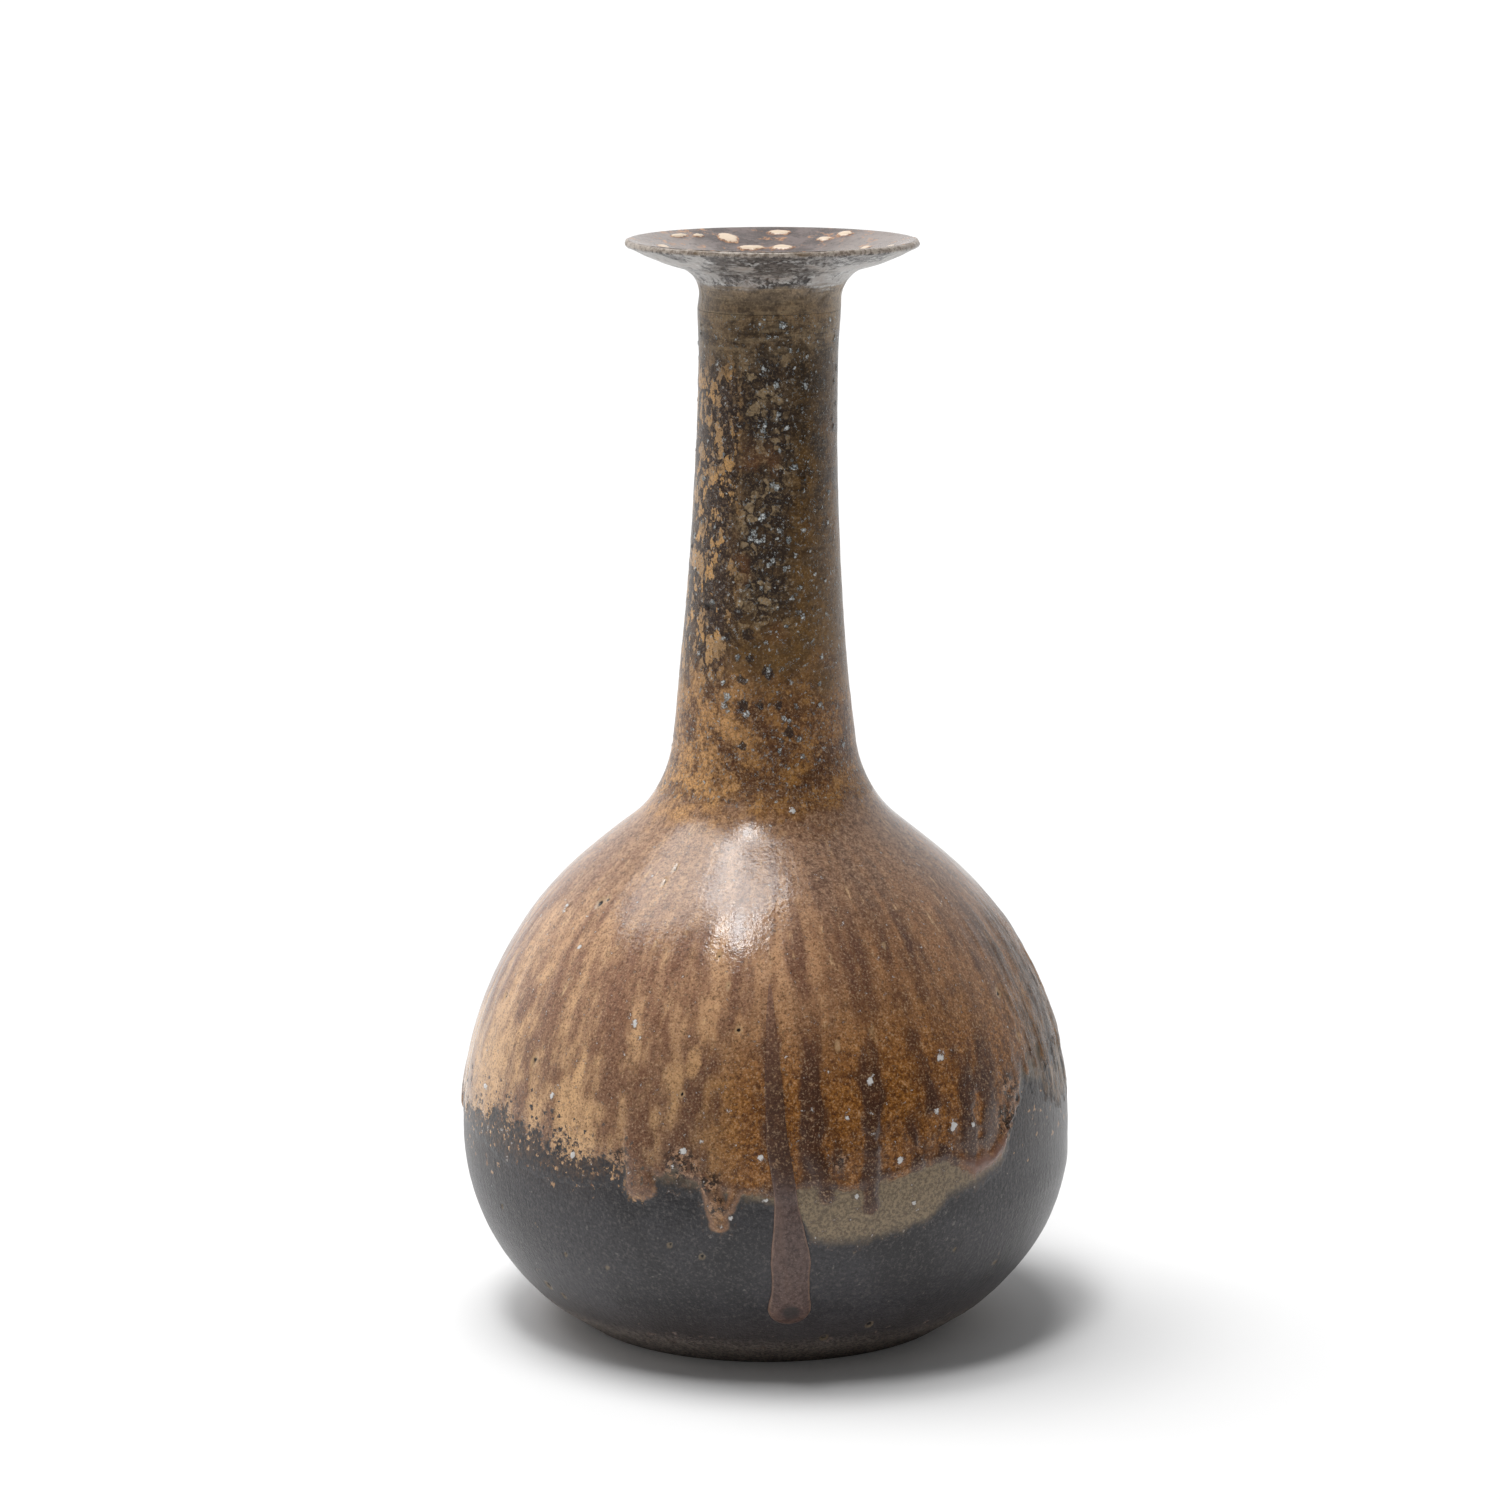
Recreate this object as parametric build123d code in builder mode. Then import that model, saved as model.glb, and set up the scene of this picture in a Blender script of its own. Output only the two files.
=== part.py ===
"""Long-necked sake bottle: wheel-thrown stoneware under a natural ash glaze that ran in the kiln.

The clay is thrown in three sections, luted together while leather-hard: a globe, a tapering neck and a
flared mouth. The ash that melted on them is a glass skin with a ragged lower edge, and where it gathered
it ran down the belly in ridges, the longest nearly to the foot.

Frame: millimetres, +Z up, origin at the centre of the resting face, front of the bottle towards -Y.
"""

import os
from math import asin, cos, degrees, radians, sin, sqrt, tan

from build123d import *

# ---- Driving dimensions ----
# Belly and foot, measured on the clay: the wall draws in by belly_tuck from the belly down to the bevel
belly_radius = 61.8
belly_height = 39.6
belly_tuck = 15.8
foot_bevel_width = 8.4
foot_bevel_height = 5.6
bevel_edge_radius = 2.5
foot_edge_radius = 0.8
belly_wall = 5.0
floor_thickness = 7.0
floor_corner_radius = 6.0

# Shoulder and neck: the shoulder draws in from the belly, and each rise starts at the height before it
shoulder_draw = 25.6
shoulder_rise = 55.2
neck_joint_rise = 15.2
neck_base_radius = 19.0
neck_base_rise = 4.0
neck_root_radius = 26.0
waist_radius = 13.8
waist_rise = 82.0
neck_wall = 4.1

# Mouth
mouth_joint_rise = 10.0
mouth_radius = 28.9
mouth_rise = 13.7
lip_thickness = 2.4
mouth_underside_slope = 19.0
mouth_dish_slope = 18.0
flare_radius = 7.0
throat_edge_radius = 5.0

# Ash glaze
glaze_thickness = 0.3
neck_glaze_thickness = 0.1
glaze_throat_radius = 13.5

# Short runs of glass as (degrees round from the front, head, tip, width): the heights are shares of the
# belly's height and the width a share of the widest run's
short_runs_layout = [
    (-150, 1.667, 0.922, 0.84), (-95, 1.465, 0.934, 0.78), (-53, 1.515, 1.098, 0.72),
    (-23.6, 1.465, 0.947, 0.94), (-8, 1.313, 0.821, 0.60), (14, 1.364, 0.884, 0.66),
    (27, 1.313, 0.783, 0.69), (48.5, 1.667, 1.073, 1.00), (105, 1.768, 1.086, 0.94),
]
short_run_width = 6.4
short_run_thickness = 1.0
run_root = 0.6

# Lower edge of the glaze: it reaches just past each run's tip and rises to a bay between two runs,
# given as (degrees round, share of the belly's height)
glaze_past_tip = 0.6
glaze_lowest = 25.0
glaze_cut_inside = 4.8
glaze_cut_outside = 3.2
glaze_bays = [
    (-172, 1.212), (-122, 1.288), (-74, 1.212), (-38, 1.111), (-15.5, 1.111), (-2, 1.073),
    (4.7, 1.061), (9, 1.068), (20.5, 0.909), (37, 1.086), (64, 1.338), (84, 1.263), (126, 1.338),
    (156, 1.136), (174, 1.263),
]

# Long run as (degrees round, height, width, thickness over its bed) from near its head to near its tip:
# heights as shares of the belly's height, widths and thicknesses as shares of the end bead's
long_run_width = 8.0
long_run_thickness = 1.7
long_run_head = (1.6, 1.616)
long_run_stations = [
    (2.1, 1.465, 0.55, 0.41), (2.9, 1.187, 0.72, 0.59), (3.7, 0.934, 0.72, 0.65),
    (4.4, 0.694, 1.00, 0.88), (4.6, 0.480, 0.98, 1.00),
]
long_run_tip = (4.7, 0.336)
long_run_leaves_glaze_share = 1.035
fused_seam = 0.02


# ---- Worked-out sizes ----
def arc_radius(rise, run):
    """Radius of an arc that starts upright and has moved sideways by run after rise."""
    return (rise**2 + run**2) / (2 * run)


foot_bevel_radius = belly_radius - belly_tuck
foot_radius = foot_bevel_radius - foot_bevel_width
neck_joint_height = belly_height + shoulder_rise + neck_joint_rise
waist_height = neck_joint_height + neck_base_rise + waist_rise
mouth_joint_height = waist_height + mouth_joint_rise
mouth_height = mouth_joint_height + mouth_rise
low_arc = arc_radius(belly_height - foot_bevel_height, belly_tuck)
high_arc = arc_radius(shoulder_rise, shoulder_draw)
neck_arc = arc_radius(waist_rise, neck_base_radius - waist_radius)
bore_radius = waist_radius - neck_wall
lip_centre = (mouth_radius - lip_thickness / 2, mouth_height - lip_thickness / 2)


# ---- Outlines of the turned forms ----
def bottle_outline(grow_belly, grow_neck, low_end, low_round, bottom):
    """Half section of globe and neck to the mouth joint, grown from the clay's outer line.

    low_end is the height where the belly's lower arc ends in a corner rounded to low_round, and bottom the
    points from the axis to that corner.
    """
    low_angle = degrees(asin((belly_height - low_end) / (low_arc + grow_belly)))
    high_angle = degrees(asin(shoulder_rise / high_arc))
    neck_angle = degrees(asin((waist_height - belly_height) / neck_arc))
    waist = (waist_radius + grow_neck, waist_height)
    top = (waist_radius + grow_neck, mouth_joint_height)
    with BuildSketch() as outline:
        with BuildLine():
            low = CenterArc(
                (belly_radius - low_arc, belly_height), low_arc + grow_belly, -low_angle, low_angle
            )
            high = CenterArc(
                (belly_radius - high_arc, belly_height), high_arc + grow_belly, 0, high_angle
            )
            neck_line = CenterArc(
                (waist_radius + neck_arc, waist_height), neck_arc - grow_neck, 180, neck_angle,
                mode=Mode.PRIVATE,
            )
            shoulder = IntersectingLine(high @ 1, high % 1, neck_line)
            TangentArc(waist, shoulder @ 1, tangent=(0, -1))
            Polyline(waist, top, (0, mouth_joint_height), *bottom, low @ 0)
        make_face()
        neck_root = outline.vertices().sort_by_distance(shoulder @ 1)[0]
        fillet(neck_root, neck_root_radius - grow_neck)
        fillet(outline.vertices().sort_by_distance(low @ 0)[0], low_round)
    return outline.sketch


def mouth_outline(grow):
    """Half section of the flared mouth, grown from the clay's surface."""
    outer = waist_radius + grow
    lip_sweep = 180 + mouth_dish_slope - mouth_underside_slope
    with BuildSketch() as outline:
        with BuildLine():
            lip = CenterArc(lip_centre, lip_thickness / 2 + grow, mouth_underside_slope - 90, lip_sweep)
            under, over = lip @ 0, lip @ 1
            corner = (outer, under.Y - (under.X - outer) * tan(radians(mouth_underside_slope)))
            edge = (bore_radius, over.Y - (over.X - bore_radius) * tan(radians(mouth_dish_slope)))
            Polyline(
                over, edge, (bore_radius, mouth_joint_height), (outer, mouth_joint_height), corner, under
            )
        make_face()
        fillet(outline.vertices().sort_by_distance(corner)[0], flare_radius - grow)
        fillet(outline.vertices().sort_by_distance(edge)[0], throat_edge_radius + grow)
    return outline.sketch


def dish_outline():
    """Half section of the glass lying in the dish of the mouth."""
    glass_width = lip_centre[0] - glaze_throat_radius
    with BuildSketch() as outline:
        add(mouth_outline(glaze_thickness))
        add(mouth_outline(fused_seam), mode=Mode.SUBTRACT)
        with Locations((lip_centre[0], mouth_height)):
            Rectangle(glass_width, mouth_radius, align=(Align.MAX, Align.CENTER), mode=Mode.INTERSECT)
    return outline.faces().sort_by(Axis.Y)[-1]


def skin_point(around, height):
    """Point on the glaze's outer surface of the globe, and the outward direction there."""
    turn = radians(around)
    arc = low_arc if height < belly_height else high_arc
    tilt = asin((height - belly_height) / (arc + glaze_thickness))
    radius = belly_radius - arc + (arc + glaze_thickness) * cos(tilt)
    outward = Vector(sin(turn) * cos(tilt), -cos(turn) * cos(tilt), sin(tilt))
    return Vector(radius * sin(turn), -radius * cos(turn), height), outward


def run_section(around, height, width, thickness):
    """Lens-shaped section across a run: width at the glaze surface, arched to thickness over it.

    The arc goes on below the surface by run_root, so that the bed can be cut out of the run.
    """
    centre, outward = skin_point(around, height)
    across = Vector(cos(radians(around)), sin(radians(around)), 0)
    arch = (width**2 / 4 + thickness**2) / (2 * thickness)
    half = sqrt(arch**2 - (arch - thickness - run_root) ** 2)
    with BuildSketch(Plane(centre, x_dir=across, z_dir=across.cross(outward))) as section:
        with BuildLine():
            ThreePointArc((-half, -run_root), (0, thickness), (half, -run_root))
            Line((half, -run_root), (-half, -run_root))
        make_face()
    return section.sketch.face()


def run_end(around, height):
    """Point where a run starts or ends, as deep as the roots of its sections."""
    centre, outward = skin_point(around, height)
    return Vertex(centre - outward * run_root)


def turned_form(outline):
    """Solid turned from a half section."""
    with BuildPart() as form:
        with BuildSketch(Plane.XZ):
            add(outline)
        revolve(axis=Axis.Z)
    return form.part


# ---- Turned forms the pieces are cut from ----
outside_foot = (foot_bevel_height, bevel_edge_radius, [(0, 0), (foot_radius, 0)])
cavity_floor = (floor_thickness, floor_corner_radius, [(0, floor_thickness)])
clay_form = turned_form(bottle_outline(0, 0, *outside_foot))
cavity_form = turned_form(bottle_outline(-belly_wall, -neck_wall, *cavity_floor))
glazed_form = turned_form(bottle_outline(glaze_thickness, neck_glaze_thickness, *outside_foot))
clay_bed = turned_form(bottle_outline(fused_seam, fused_seam, *outside_foot))
glaze_bed = turned_form(bottle_outline(glaze_thickness + fused_seam, neck_glaze_thickness, *outside_foot))
neck_joint = Plane.XY.offset(neck_joint_height)

# ---- Body: the thrown globe, with its floor and trimmed foot ----
with BuildPart() as body:
    add(clay_form)
    fillet(body.edges().group_by(Axis.Z)[0], foot_edge_radius)
    add(cavity_form, mode=Mode.SUBTRACT)
    split(bisect_by=neck_joint, keep=Keep.BOTTOM)
body.part.label = "body"

# ---- Neck: the thrown tapering tube luted on the shoulder ----
with BuildPart() as neck:
    add(clay_form)
    add(cavity_form, mode=Mode.SUBTRACT)
    split(bisect_by=neck_joint, keep=Keep.TOP)
neck.part.label = "neck"

# ---- Mouth: the flared mouth with its thin lip ----
with BuildPart() as mouth:
    with BuildSketch(Plane.XZ):
        add(mouth_outline(0))
    revolve(axis=Axis.Z)
mouth.part.label = "mouth"

# ---- Body glaze: the ash glass over belly and shoulder, ending in a ragged line of run ends ----
bays = [(around, share * belly_height) for around, share in glaze_bays]
tips = [(around, tip * belly_height - glaze_past_tip) for around, head, tip, width in short_runs_layout]
ragged_edge = [(radians(around), height) for around, height in sorted(bays + tips)]


def ring_curve(radius):
    """The ragged lower edge of the glaze drawn on a cylinder."""
    return Edge.make_spline(
        [Vector(radius * sin(turn), -radius * cos(turn), z) for turn, z in ragged_edge], periodic=True
    )


with BuildPart() as body_glaze:
    add(glazed_form)
    add(clay_bed, mode=Mode.SUBTRACT)
    split(bisect_by=neck_joint, keep=Keep.BOTTOM)
    split(bisect_by=Plane.XY.offset(glaze_lowest), keep=Keep.TOP)
    inner_curve = ring_curve(belly_radius - glaze_cut_inside)
    outer_curve = ring_curve(belly_radius + glaze_cut_outside)
    ragged = Face.make_surface_from_curves(inner_curve, outer_curve)
    extrude(ragged, amount=belly_height, dir=(0, 0, -1), mode=Mode.SUBTRACT)
body_glaze.part.label = "body_glaze"

# ---- Mouth glaze: the pool of glass in the dish, from the crest of the lip down to the throat ----
with BuildPart() as mouth_glaze:
    with BuildSketch(Plane.XZ):
        add(dish_outline())
    revolve(axis=Axis.Z)
mouth_glaze.part.label = "mouth_glaze"

# ---- Long run: the thick tear of glass down the front, over bare clay to a bead above the foot ----
with BuildPart() as long_run:
    long_sections = [
        run_section(around, share * belly_height, long_run_width * wide, long_run_thickness * thick)
        for around, share, wide, thick in long_run_stations
    ]
    head_end = run_end(long_run_head[0], long_run_head[1] * belly_height)
    tip_end = run_end(long_run_tip[0], long_run_tip[1] * belly_height)
    loft([head_end, *long_sections, tip_end])
    add(clay_bed, mode=Mode.SUBTRACT)
    leaving = Plane.XY.offset(long_run_leaves_glaze_share * belly_height)
    add(glaze_bed.split(leaving, keep=Keep.TOP), mode=Mode.SUBTRACT)
long_run.part.label = "long_run"

# ---- Short runs: the ridges of glass along the glaze edge all round ----
with BuildPart() as short_runs:
    for around, head, tip, wide in short_runs_layout:
        top = head * belly_height
        end = tip * belly_height
        width = wide * short_run_width
        upper = run_section(around, end + (top - end) * 0.7, width * 0.75, short_run_thickness * 0.6)
        lower = run_section(around, end + (top - end) * 0.2, width, short_run_thickness)
        loft([run_end(around, top), upper, lower, run_end(around, end)])
    add(glaze_bed, mode=Mode.SUBTRACT)
short_runs.part.label = "short_runs"

# ---- STEP files ----
os.makedirs("parts", exist_ok=True)
export_step(body.part, "parts/body.step")
export_step(neck.part, "parts/neck.step")
export_step(mouth.part, "parts/mouth.step")
export_step(body_glaze.part, "parts/body_glaze.step")
export_step(mouth_glaze.part, "parts/mouth_glaze.step")
export_step(long_run.part, "parts/long_run.step")
export_step(short_runs.part, "parts/short_runs.step")
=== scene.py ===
"""Long-necked sake bottle, wood-fired stoneware under a natural ash glaze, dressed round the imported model.

Sizes are in millimetres and angles in degrees round the bottle from its front, positive to the right, up to
where a mesh is placed, which is in metres.
"""

from math import asin, atan2, degrees, hypot, radians

import bmesh
import bpy
import numpy as np
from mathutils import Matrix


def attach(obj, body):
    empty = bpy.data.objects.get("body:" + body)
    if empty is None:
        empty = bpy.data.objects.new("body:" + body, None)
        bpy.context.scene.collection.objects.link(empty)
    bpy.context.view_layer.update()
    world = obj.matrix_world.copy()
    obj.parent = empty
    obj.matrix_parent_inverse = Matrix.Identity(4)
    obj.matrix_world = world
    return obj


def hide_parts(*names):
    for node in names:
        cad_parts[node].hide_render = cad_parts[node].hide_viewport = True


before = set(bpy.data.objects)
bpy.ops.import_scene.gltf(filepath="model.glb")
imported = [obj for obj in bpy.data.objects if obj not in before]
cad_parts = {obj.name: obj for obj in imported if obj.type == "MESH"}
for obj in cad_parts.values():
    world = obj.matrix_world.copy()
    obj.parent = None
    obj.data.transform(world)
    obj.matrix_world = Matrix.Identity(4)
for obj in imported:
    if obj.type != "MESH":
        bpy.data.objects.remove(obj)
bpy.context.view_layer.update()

# ---- Camera ----
# A long lens a little above the bottle, looking down on it, so that the dish of the mouth just shows.
camera_lens = 121.07
camera_place = (-0.0032, -1.0, 0.3064)
camera_dip = 10.74

camera = bpy.data.objects.new("camera", bpy.data.cameras.new("camera"))
camera.data.lens = camera_lens
camera.data.sensor_width = 36
camera.location = camera_place
camera.rotation_euler = (radians(90 - camera_dip), 0, 0)
bpy.context.scene.collection.objects.link(camera)
bpy.context.scene.camera = camera
bpy.context.scene.view_settings.view_transform = "Standard"

# ---- Floor ----
# A white paper floor that runs on behind the bottle. It keeps the shadow. Its whiteness is topped up a little
# for the camera, and it is dimmer in gloss, as under a card that keeps its glare off the bottle.
floor_half = 12.0
floor_white = 0.86
floor_lift = 0.02
floor_in_gloss = 0.3
floor_dim_from = -0.10
floor_dim_to = -0.30

sheet = bmesh.new()
bmesh.ops.create_grid(sheet, x_segments=2, y_segments=2, size=floor_half)
floor_mesh = bpy.data.meshes.new("paper_floor")
sheet.to_mesh(floor_mesh)
sheet.free()
floor = bpy.data.objects.new("paper_floor", floor_mesh)
bpy.context.scene.collection.objects.link(floor)


def put(tree, kind, settings=None, **inputs):
    """Adds a shader node. An input given a socket is linked to it, and any other value is set."""
    made = tree.nodes.new("ShaderNode" + kind)
    for name, value in (settings or {}).items():
        setattr(made, name, value)
    for name, value in inputs.items():
        numbered = name[0] == "i" and name[1:].isdigit()
        socket = made.inputs[int(name[1:]) if numbered else name.replace("_", " ")]
        if isinstance(value, bpy.types.NodeSocket):
            tree.links.new(value, socket)
        else:
            socket.default_value = value
    return made


def bare_material(name):
    """A material with no nodes yet, and its node tree."""
    material = bpy.data.materials.new(name)
    material.use_nodes = True
    material.node_tree.nodes.clear()
    return material, material.node_tree


paper, tree = bare_material("white_paper")
matt = put(tree, "BsdfDiffuse", Color=(floor_white, floor_white, floor_white, 1))
lift = put(tree, "Emission", Color=(1, 1, 1, 1))
seen = put(tree, "LightPath")
share = put(tree, "Math", {"operation": "MULTIPLY"}, i0=seen.outputs["Is Camera Ray"], i1=floor_lift)
tree.links.new(share.outputs[0], lift.inputs["Strength"])
both = put(tree, "AddShader", i0=matt.outputs[0], i1=lift.outputs[0])
dim = put(tree, "BsdfDiffuse", Color=(0, 0, 0, 1))
place_y = put(tree, "SeparateXYZ", Vector=put(tree, "TexCoord").outputs["Object"]).outputs["Y"]
dimmed = put(
    tree, "MapRange", Value=place_y, From_Min=floor_dim_from, From_Max=floor_dim_to, To_Max=1 - floor_in_gloss
)
share = put(tree, "Math", {"operation": "MULTIPLY"}, i0=seen.outputs["Is Glossy Ray"], i1=dimmed.outputs[0])
both = put(tree, "MixShader", i0=share.outputs[0], i1=both.outputs[0], i2=dim.outputs[0])
put(tree, "OutputMaterial", Surface=both.outputs[0])
floor_mesh.materials.append(paper)

# ---- Light ----
# A soft lamp overhead, a broad one on the left that draws the shadow out to the right, and a small one in
# front that puts the highlight on the shoulder, in a room dim towards the camera and bright behind.
lamps = [  # (name, strength, spread, rise, turn to the left)
    ("overhead_lamp", 1.3, 27, 84, 100),
    ("left_lamp", 1.05, 36, 62, 112),
    ("front_lamp", 0.68, 12, 71.0, 31),
]
light_in_front = 0.07
light_behind = 0.70
gloss_in_front = 0.12
gloss_behind = 1.0
dim_from = -0.5
bright_from = 0.65
brighter_left = 0.15

for name, strength, spread, rise, left in lamps:
    lamp = bpy.data.objects.new(name, bpy.data.lights.new(name, "SUN"))
    lamp.data.energy = strength
    lamp.data.angle = radians(spread)
    lamp.rotation_euler = (radians(90 - rise), 0, radians(-left))
    bpy.context.scene.collection.objects.link(lamp)

room = bpy.data.worlds.new("white_room")
room.use_nodes = True
tree = room.node_tree
tree.nodes.clear()
seen = put(tree, "LightPath")
way = put(tree, "SeparateXYZ", Vector=put(tree, "TexCoord").outputs["Generated"]).outputs
lit, glossy = (
    put(
        tree, "MapRange", Value=way["Y"], From_Min=dim_from, From_Max=bright_from, To_Min=front, To_Max=behind
    ).outputs[0]
    for front, behind in ((light_in_front, light_behind), (gloss_in_front, gloss_behind))
)
unseen = put(tree, "MapRange", Value=seen.outputs["Is Glossy Ray"], To_Min=lit, To_Max=glossy).outputs[0]
unseen = put(
    tree, "Math", {"operation": "MULTIPLY_ADD"}, i0=way["X"], i1=-brighter_left, i2=unseen
).outputs[0]
level = put(tree, "MapRange", Value=seen.outputs["Is Camera Ray"], To_Min=unseen, To_Max=1.0)
walls = put(tree, "Background", Color=(1, 1, 1, 1), Strength=level.outputs[0])
put(tree, "OutputWorld", Surface=walls.outputs[0])
bpy.context.scene.world = room

# ---- Clay body ----
# The thrown globe of dark stoneware with its trimmed foot. It was fired bare below the ash, so the charcoal
# skin of the clay shows there, with specks of feldspar, pinholes and small chips along the bevel.
foot_radius = 37.6
foot_edge_radius = 0.8
foot_edge_inset = 0.24
flat_foot_inset = 0.3
bevel_radius = 46.0
bevel_height = 5.6
belly_radius = 61.8
belly_height = 39.6
belly_wall = 5.0
floor_thickness = 7.0
floor_corner = 6.0
shoulder_radius = 36.2
shoulder_rise = 55.2
joint_height = 110.0
neck_root_radius = 26.0
neck_base_radius = 19.0
waist_radius = 13.8
waist_rise = 82.0
waist_height = 196.0
neck_wall = 4.1
bare_up_to = 58.0
fine_step = 0.52
plain_step = 6.0
drawn_in_under_coat = 0.7
pinhole_depth = 0.5
chip_depth = 0.22
bevel_roughness = 0.14
front_crowding = 0.38
ring_split = 16
crease_angle = 50


def arc_radius(rise, run):
    """Radius of an arc that starts upright and has moved sideways by run after rise."""
    return (rise**2 + run**2) / (2 * run)


low_arc = arc_radius(belly_height - bevel_height, belly_radius - bevel_radius)
high_arc = arc_radius(shoulder_rise, belly_radius - shoulder_radius)
neck_arc = arc_radius(waist_rise, neck_base_radius - waist_radius)
shoulder_angle = asin(shoulder_rise / high_arc)
shoulder_point = np.array((shoulder_radius, belly_height + shoulder_rise))
cone_way = np.array((-np.sin(shoulder_angle), np.cos(shoulder_angle)))
cone_out = np.array((np.cos(shoulder_angle), np.sin(shoulder_angle)))
neck_centre = np.array((waist_radius + neck_arc, waist_height))


def root_centre(root):
    """Centre of the hollow curve of radius root between the shoulder's cone and the neck."""
    start = shoulder_point + cone_out * root - neck_centre
    along = start @ cone_way
    return shoulder_point + cone_out * root + cone_way * (
        np.sqrt(along**2 - start @ start + (neck_arc - root) ** 2) - along
    )


root_middle = root_centre(neck_root_radius)
root_start = root_middle - cone_out * neck_root_radius
to_neck = (root_middle - neck_centre) / hypot(*(root_middle - neck_centre))
root_end = neck_centre + to_neck * neck_arc


def outer_radius(height):
    """Radius of the clay's outer surface from the bevel up to the mouth joint."""
    low = belly_radius - low_arc + np.sqrt(np.maximum(low_arc**2 - (height - belly_height) ** 2, 0))
    high = belly_radius - high_arc + np.sqrt(np.maximum(high_arc**2 - (height - belly_height) ** 2, 0))
    cone = shoulder_radius + (height - shoulder_point[1]) * cone_way[0] / cone_way[1]
    root = root_middle[0] - np.sqrt(np.maximum(neck_root_radius**2 - (height - root_middle[1]) ** 2, 0))
    neck = neck_centre[0] - np.sqrt(neck_arc**2 - (height - waist_height) ** 2)
    above = [
        height > waist_height, height > root_end[1], height > root_start[1], height > shoulder_point[1],
        height > belly_height,
    ]
    return np.select(above, [waist_radius, neck, root, cone, high], low)


def up_wall(low, high, step):
    """Points up the outer surface from one height to another, about step apart along the curve."""
    fine = np.linspace(low, high, 4000)
    run = np.concatenate(([0], np.cumsum(np.hypot(np.diff(fine), np.diff(outer_radius(fine))))))
    heights = np.interp(np.linspace(0, run[-1], max(2, round(run[-1] / step) + 1)), run, fine)
    return np.column_stack((outer_radius(heights), heights))


def arc(centre, radius, start, end, count):
    """Points on an arc in the half section, between two angles."""
    turn = np.radians(np.linspace(start, end, count))
    return np.column_stack((centre[0] + radius * np.cos(turn), centre[1] + radius * np.sin(turn)))


def inset(line, depth):
    """A line moved to the left of its own direction by depth."""
    way = np.gradient(line, axis=0)
    way /= np.hypot(way[:, 0], way[:, 1])[:, None]
    return line + np.column_stack((-way[:, 1], way[:, 0])) * depth


def vertex_places(mesh):
    """Where a mesh's vertices are, one row each."""
    points = np.empty(len(mesh.vertices) * 3)
    mesh.vertices.foreach_get("co", points)
    return points.reshape(-1, 3)


def turned(name, parts, steps, closed):
    """Spins a half section of (radius, height) points into a mesh with rings finer at the front.

    Returns the object with, for each of its vertices, the angle round the bottle, the point of the half
    section that it comes from and the outward direction there.
    """
    line = np.concatenate(parts)
    apart = np.hypot(*np.diff(line, axis=0).T) > 1e-4
    line = line[np.concatenate(([True], apart))]
    if closed and hypot(*(line[0] - line[-1])) < 1e-4:
        line = line[:-1]
    way = np.roll(line, -1, 0) - np.roll(line, 1, 0) if closed else np.gradient(line, axis=0)
    way /= np.hypot(way[:, 0], way[:, 1])[:, None]
    out = np.column_stack((way[:, 1], -way[:, 0]))
    form = bmesh.new()
    number = form.verts.layers.float.new("point_number")
    corners = []
    for index, (radius, height) in enumerate(line):
        corner = form.verts.new((radius, 0, height))
        corner[number] = index
        corners.append(corner)
    ends = zip(corners, corners[1:] + corners[:1] if closed else corners[1:])
    edges = [form.edges.new(pair) for pair in ends]
    bmesh.ops.spin(
        form, geom=corners + edges, cent=(0, 0, 0), axis=(0, 0, 1), dvec=(0, 0, 0),
        angle=radians(360), steps=steps // ring_split, use_merge=True, use_duplicate=False,
    )
    hoops = [edge for edge in form.edges if edge.verts[0][number] == edge.verts[1][number]]
    bmesh.ops.subdivide_edges(form, edges=hoops, cuts=ring_split - 1, use_grid_fill=True)
    bmesh.ops.remove_doubles(form, verts=form.verts, dist=1e-4)
    bmesh.ops.recalc_face_normals(form, faces=form.faces)
    mesh = bpy.data.meshes.new(name)
    form.to_mesh(mesh)
    form.free()
    points = vertex_places(mesh)
    which = np.empty(len(points), np.float32)
    mesh.attributes["point_number"].data.foreach_get("value", which)
    which = np.rint(which).astype(int)
    mesh.attributes.remove(mesh.attributes["point_number"])
    turn = np.arctan2(points[:, 0], -points[:, 1])
    turn -= front_crowding * np.sin(turn)
    piece = bpy.data.objects.new(name, mesh)
    bpy.context.scene.collection.objects.link(piece)
    return piece, turn, line[which], out[which]


# Large odd numbers that scatter the corners of the lattice which the noise below is read from.
corner_keys = np.array((73856093, 19349663, 83492791))
seed_key = 2654435761
scatter_keys = (2246822519, 3266489917)
low_bits = 0xFFFFFFFF


def lumps(points, size, seed):
    """Smooth unevenness from -1 to 1 over points in mm, with lumps about size across."""
    cell = np.floor(points / size).astype(np.int64)
    part = points / size - cell
    part = part * part * (3 - 2 * part)
    total = np.zeros(len(points))
    for corner in ((a, b, c) for a in (0, 1) for b in (0, 1) for c in (0, 1)):
        key = (cell + corner) @ corner_keys + seed * seed_key
        key = (key ^ (key >> 15)) * scatter_keys[0] & low_bits
        key = (key ^ (key >> 13)) * scatter_keys[1] & low_bits
        value = ((key ^ (key >> 16)) & low_bits) / 2**31 - 1
        total += value * np.prod(np.where(corner, part, 1 - part), axis=1)
    return total


def on_wall(turn, section):
    """Points in mm of a turned surface."""
    return np.column_stack((section[:, 0] * np.sin(turn), -section[:, 0] * np.cos(turn), section[:, 1]))


lean_heights = (0, 90, 135, 170, 206, 212, 216, 220)
lean_right = (0.0, 0.0, -0.45, 0.0, 0.6, 1.1, 1.3, 1.15)


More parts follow.
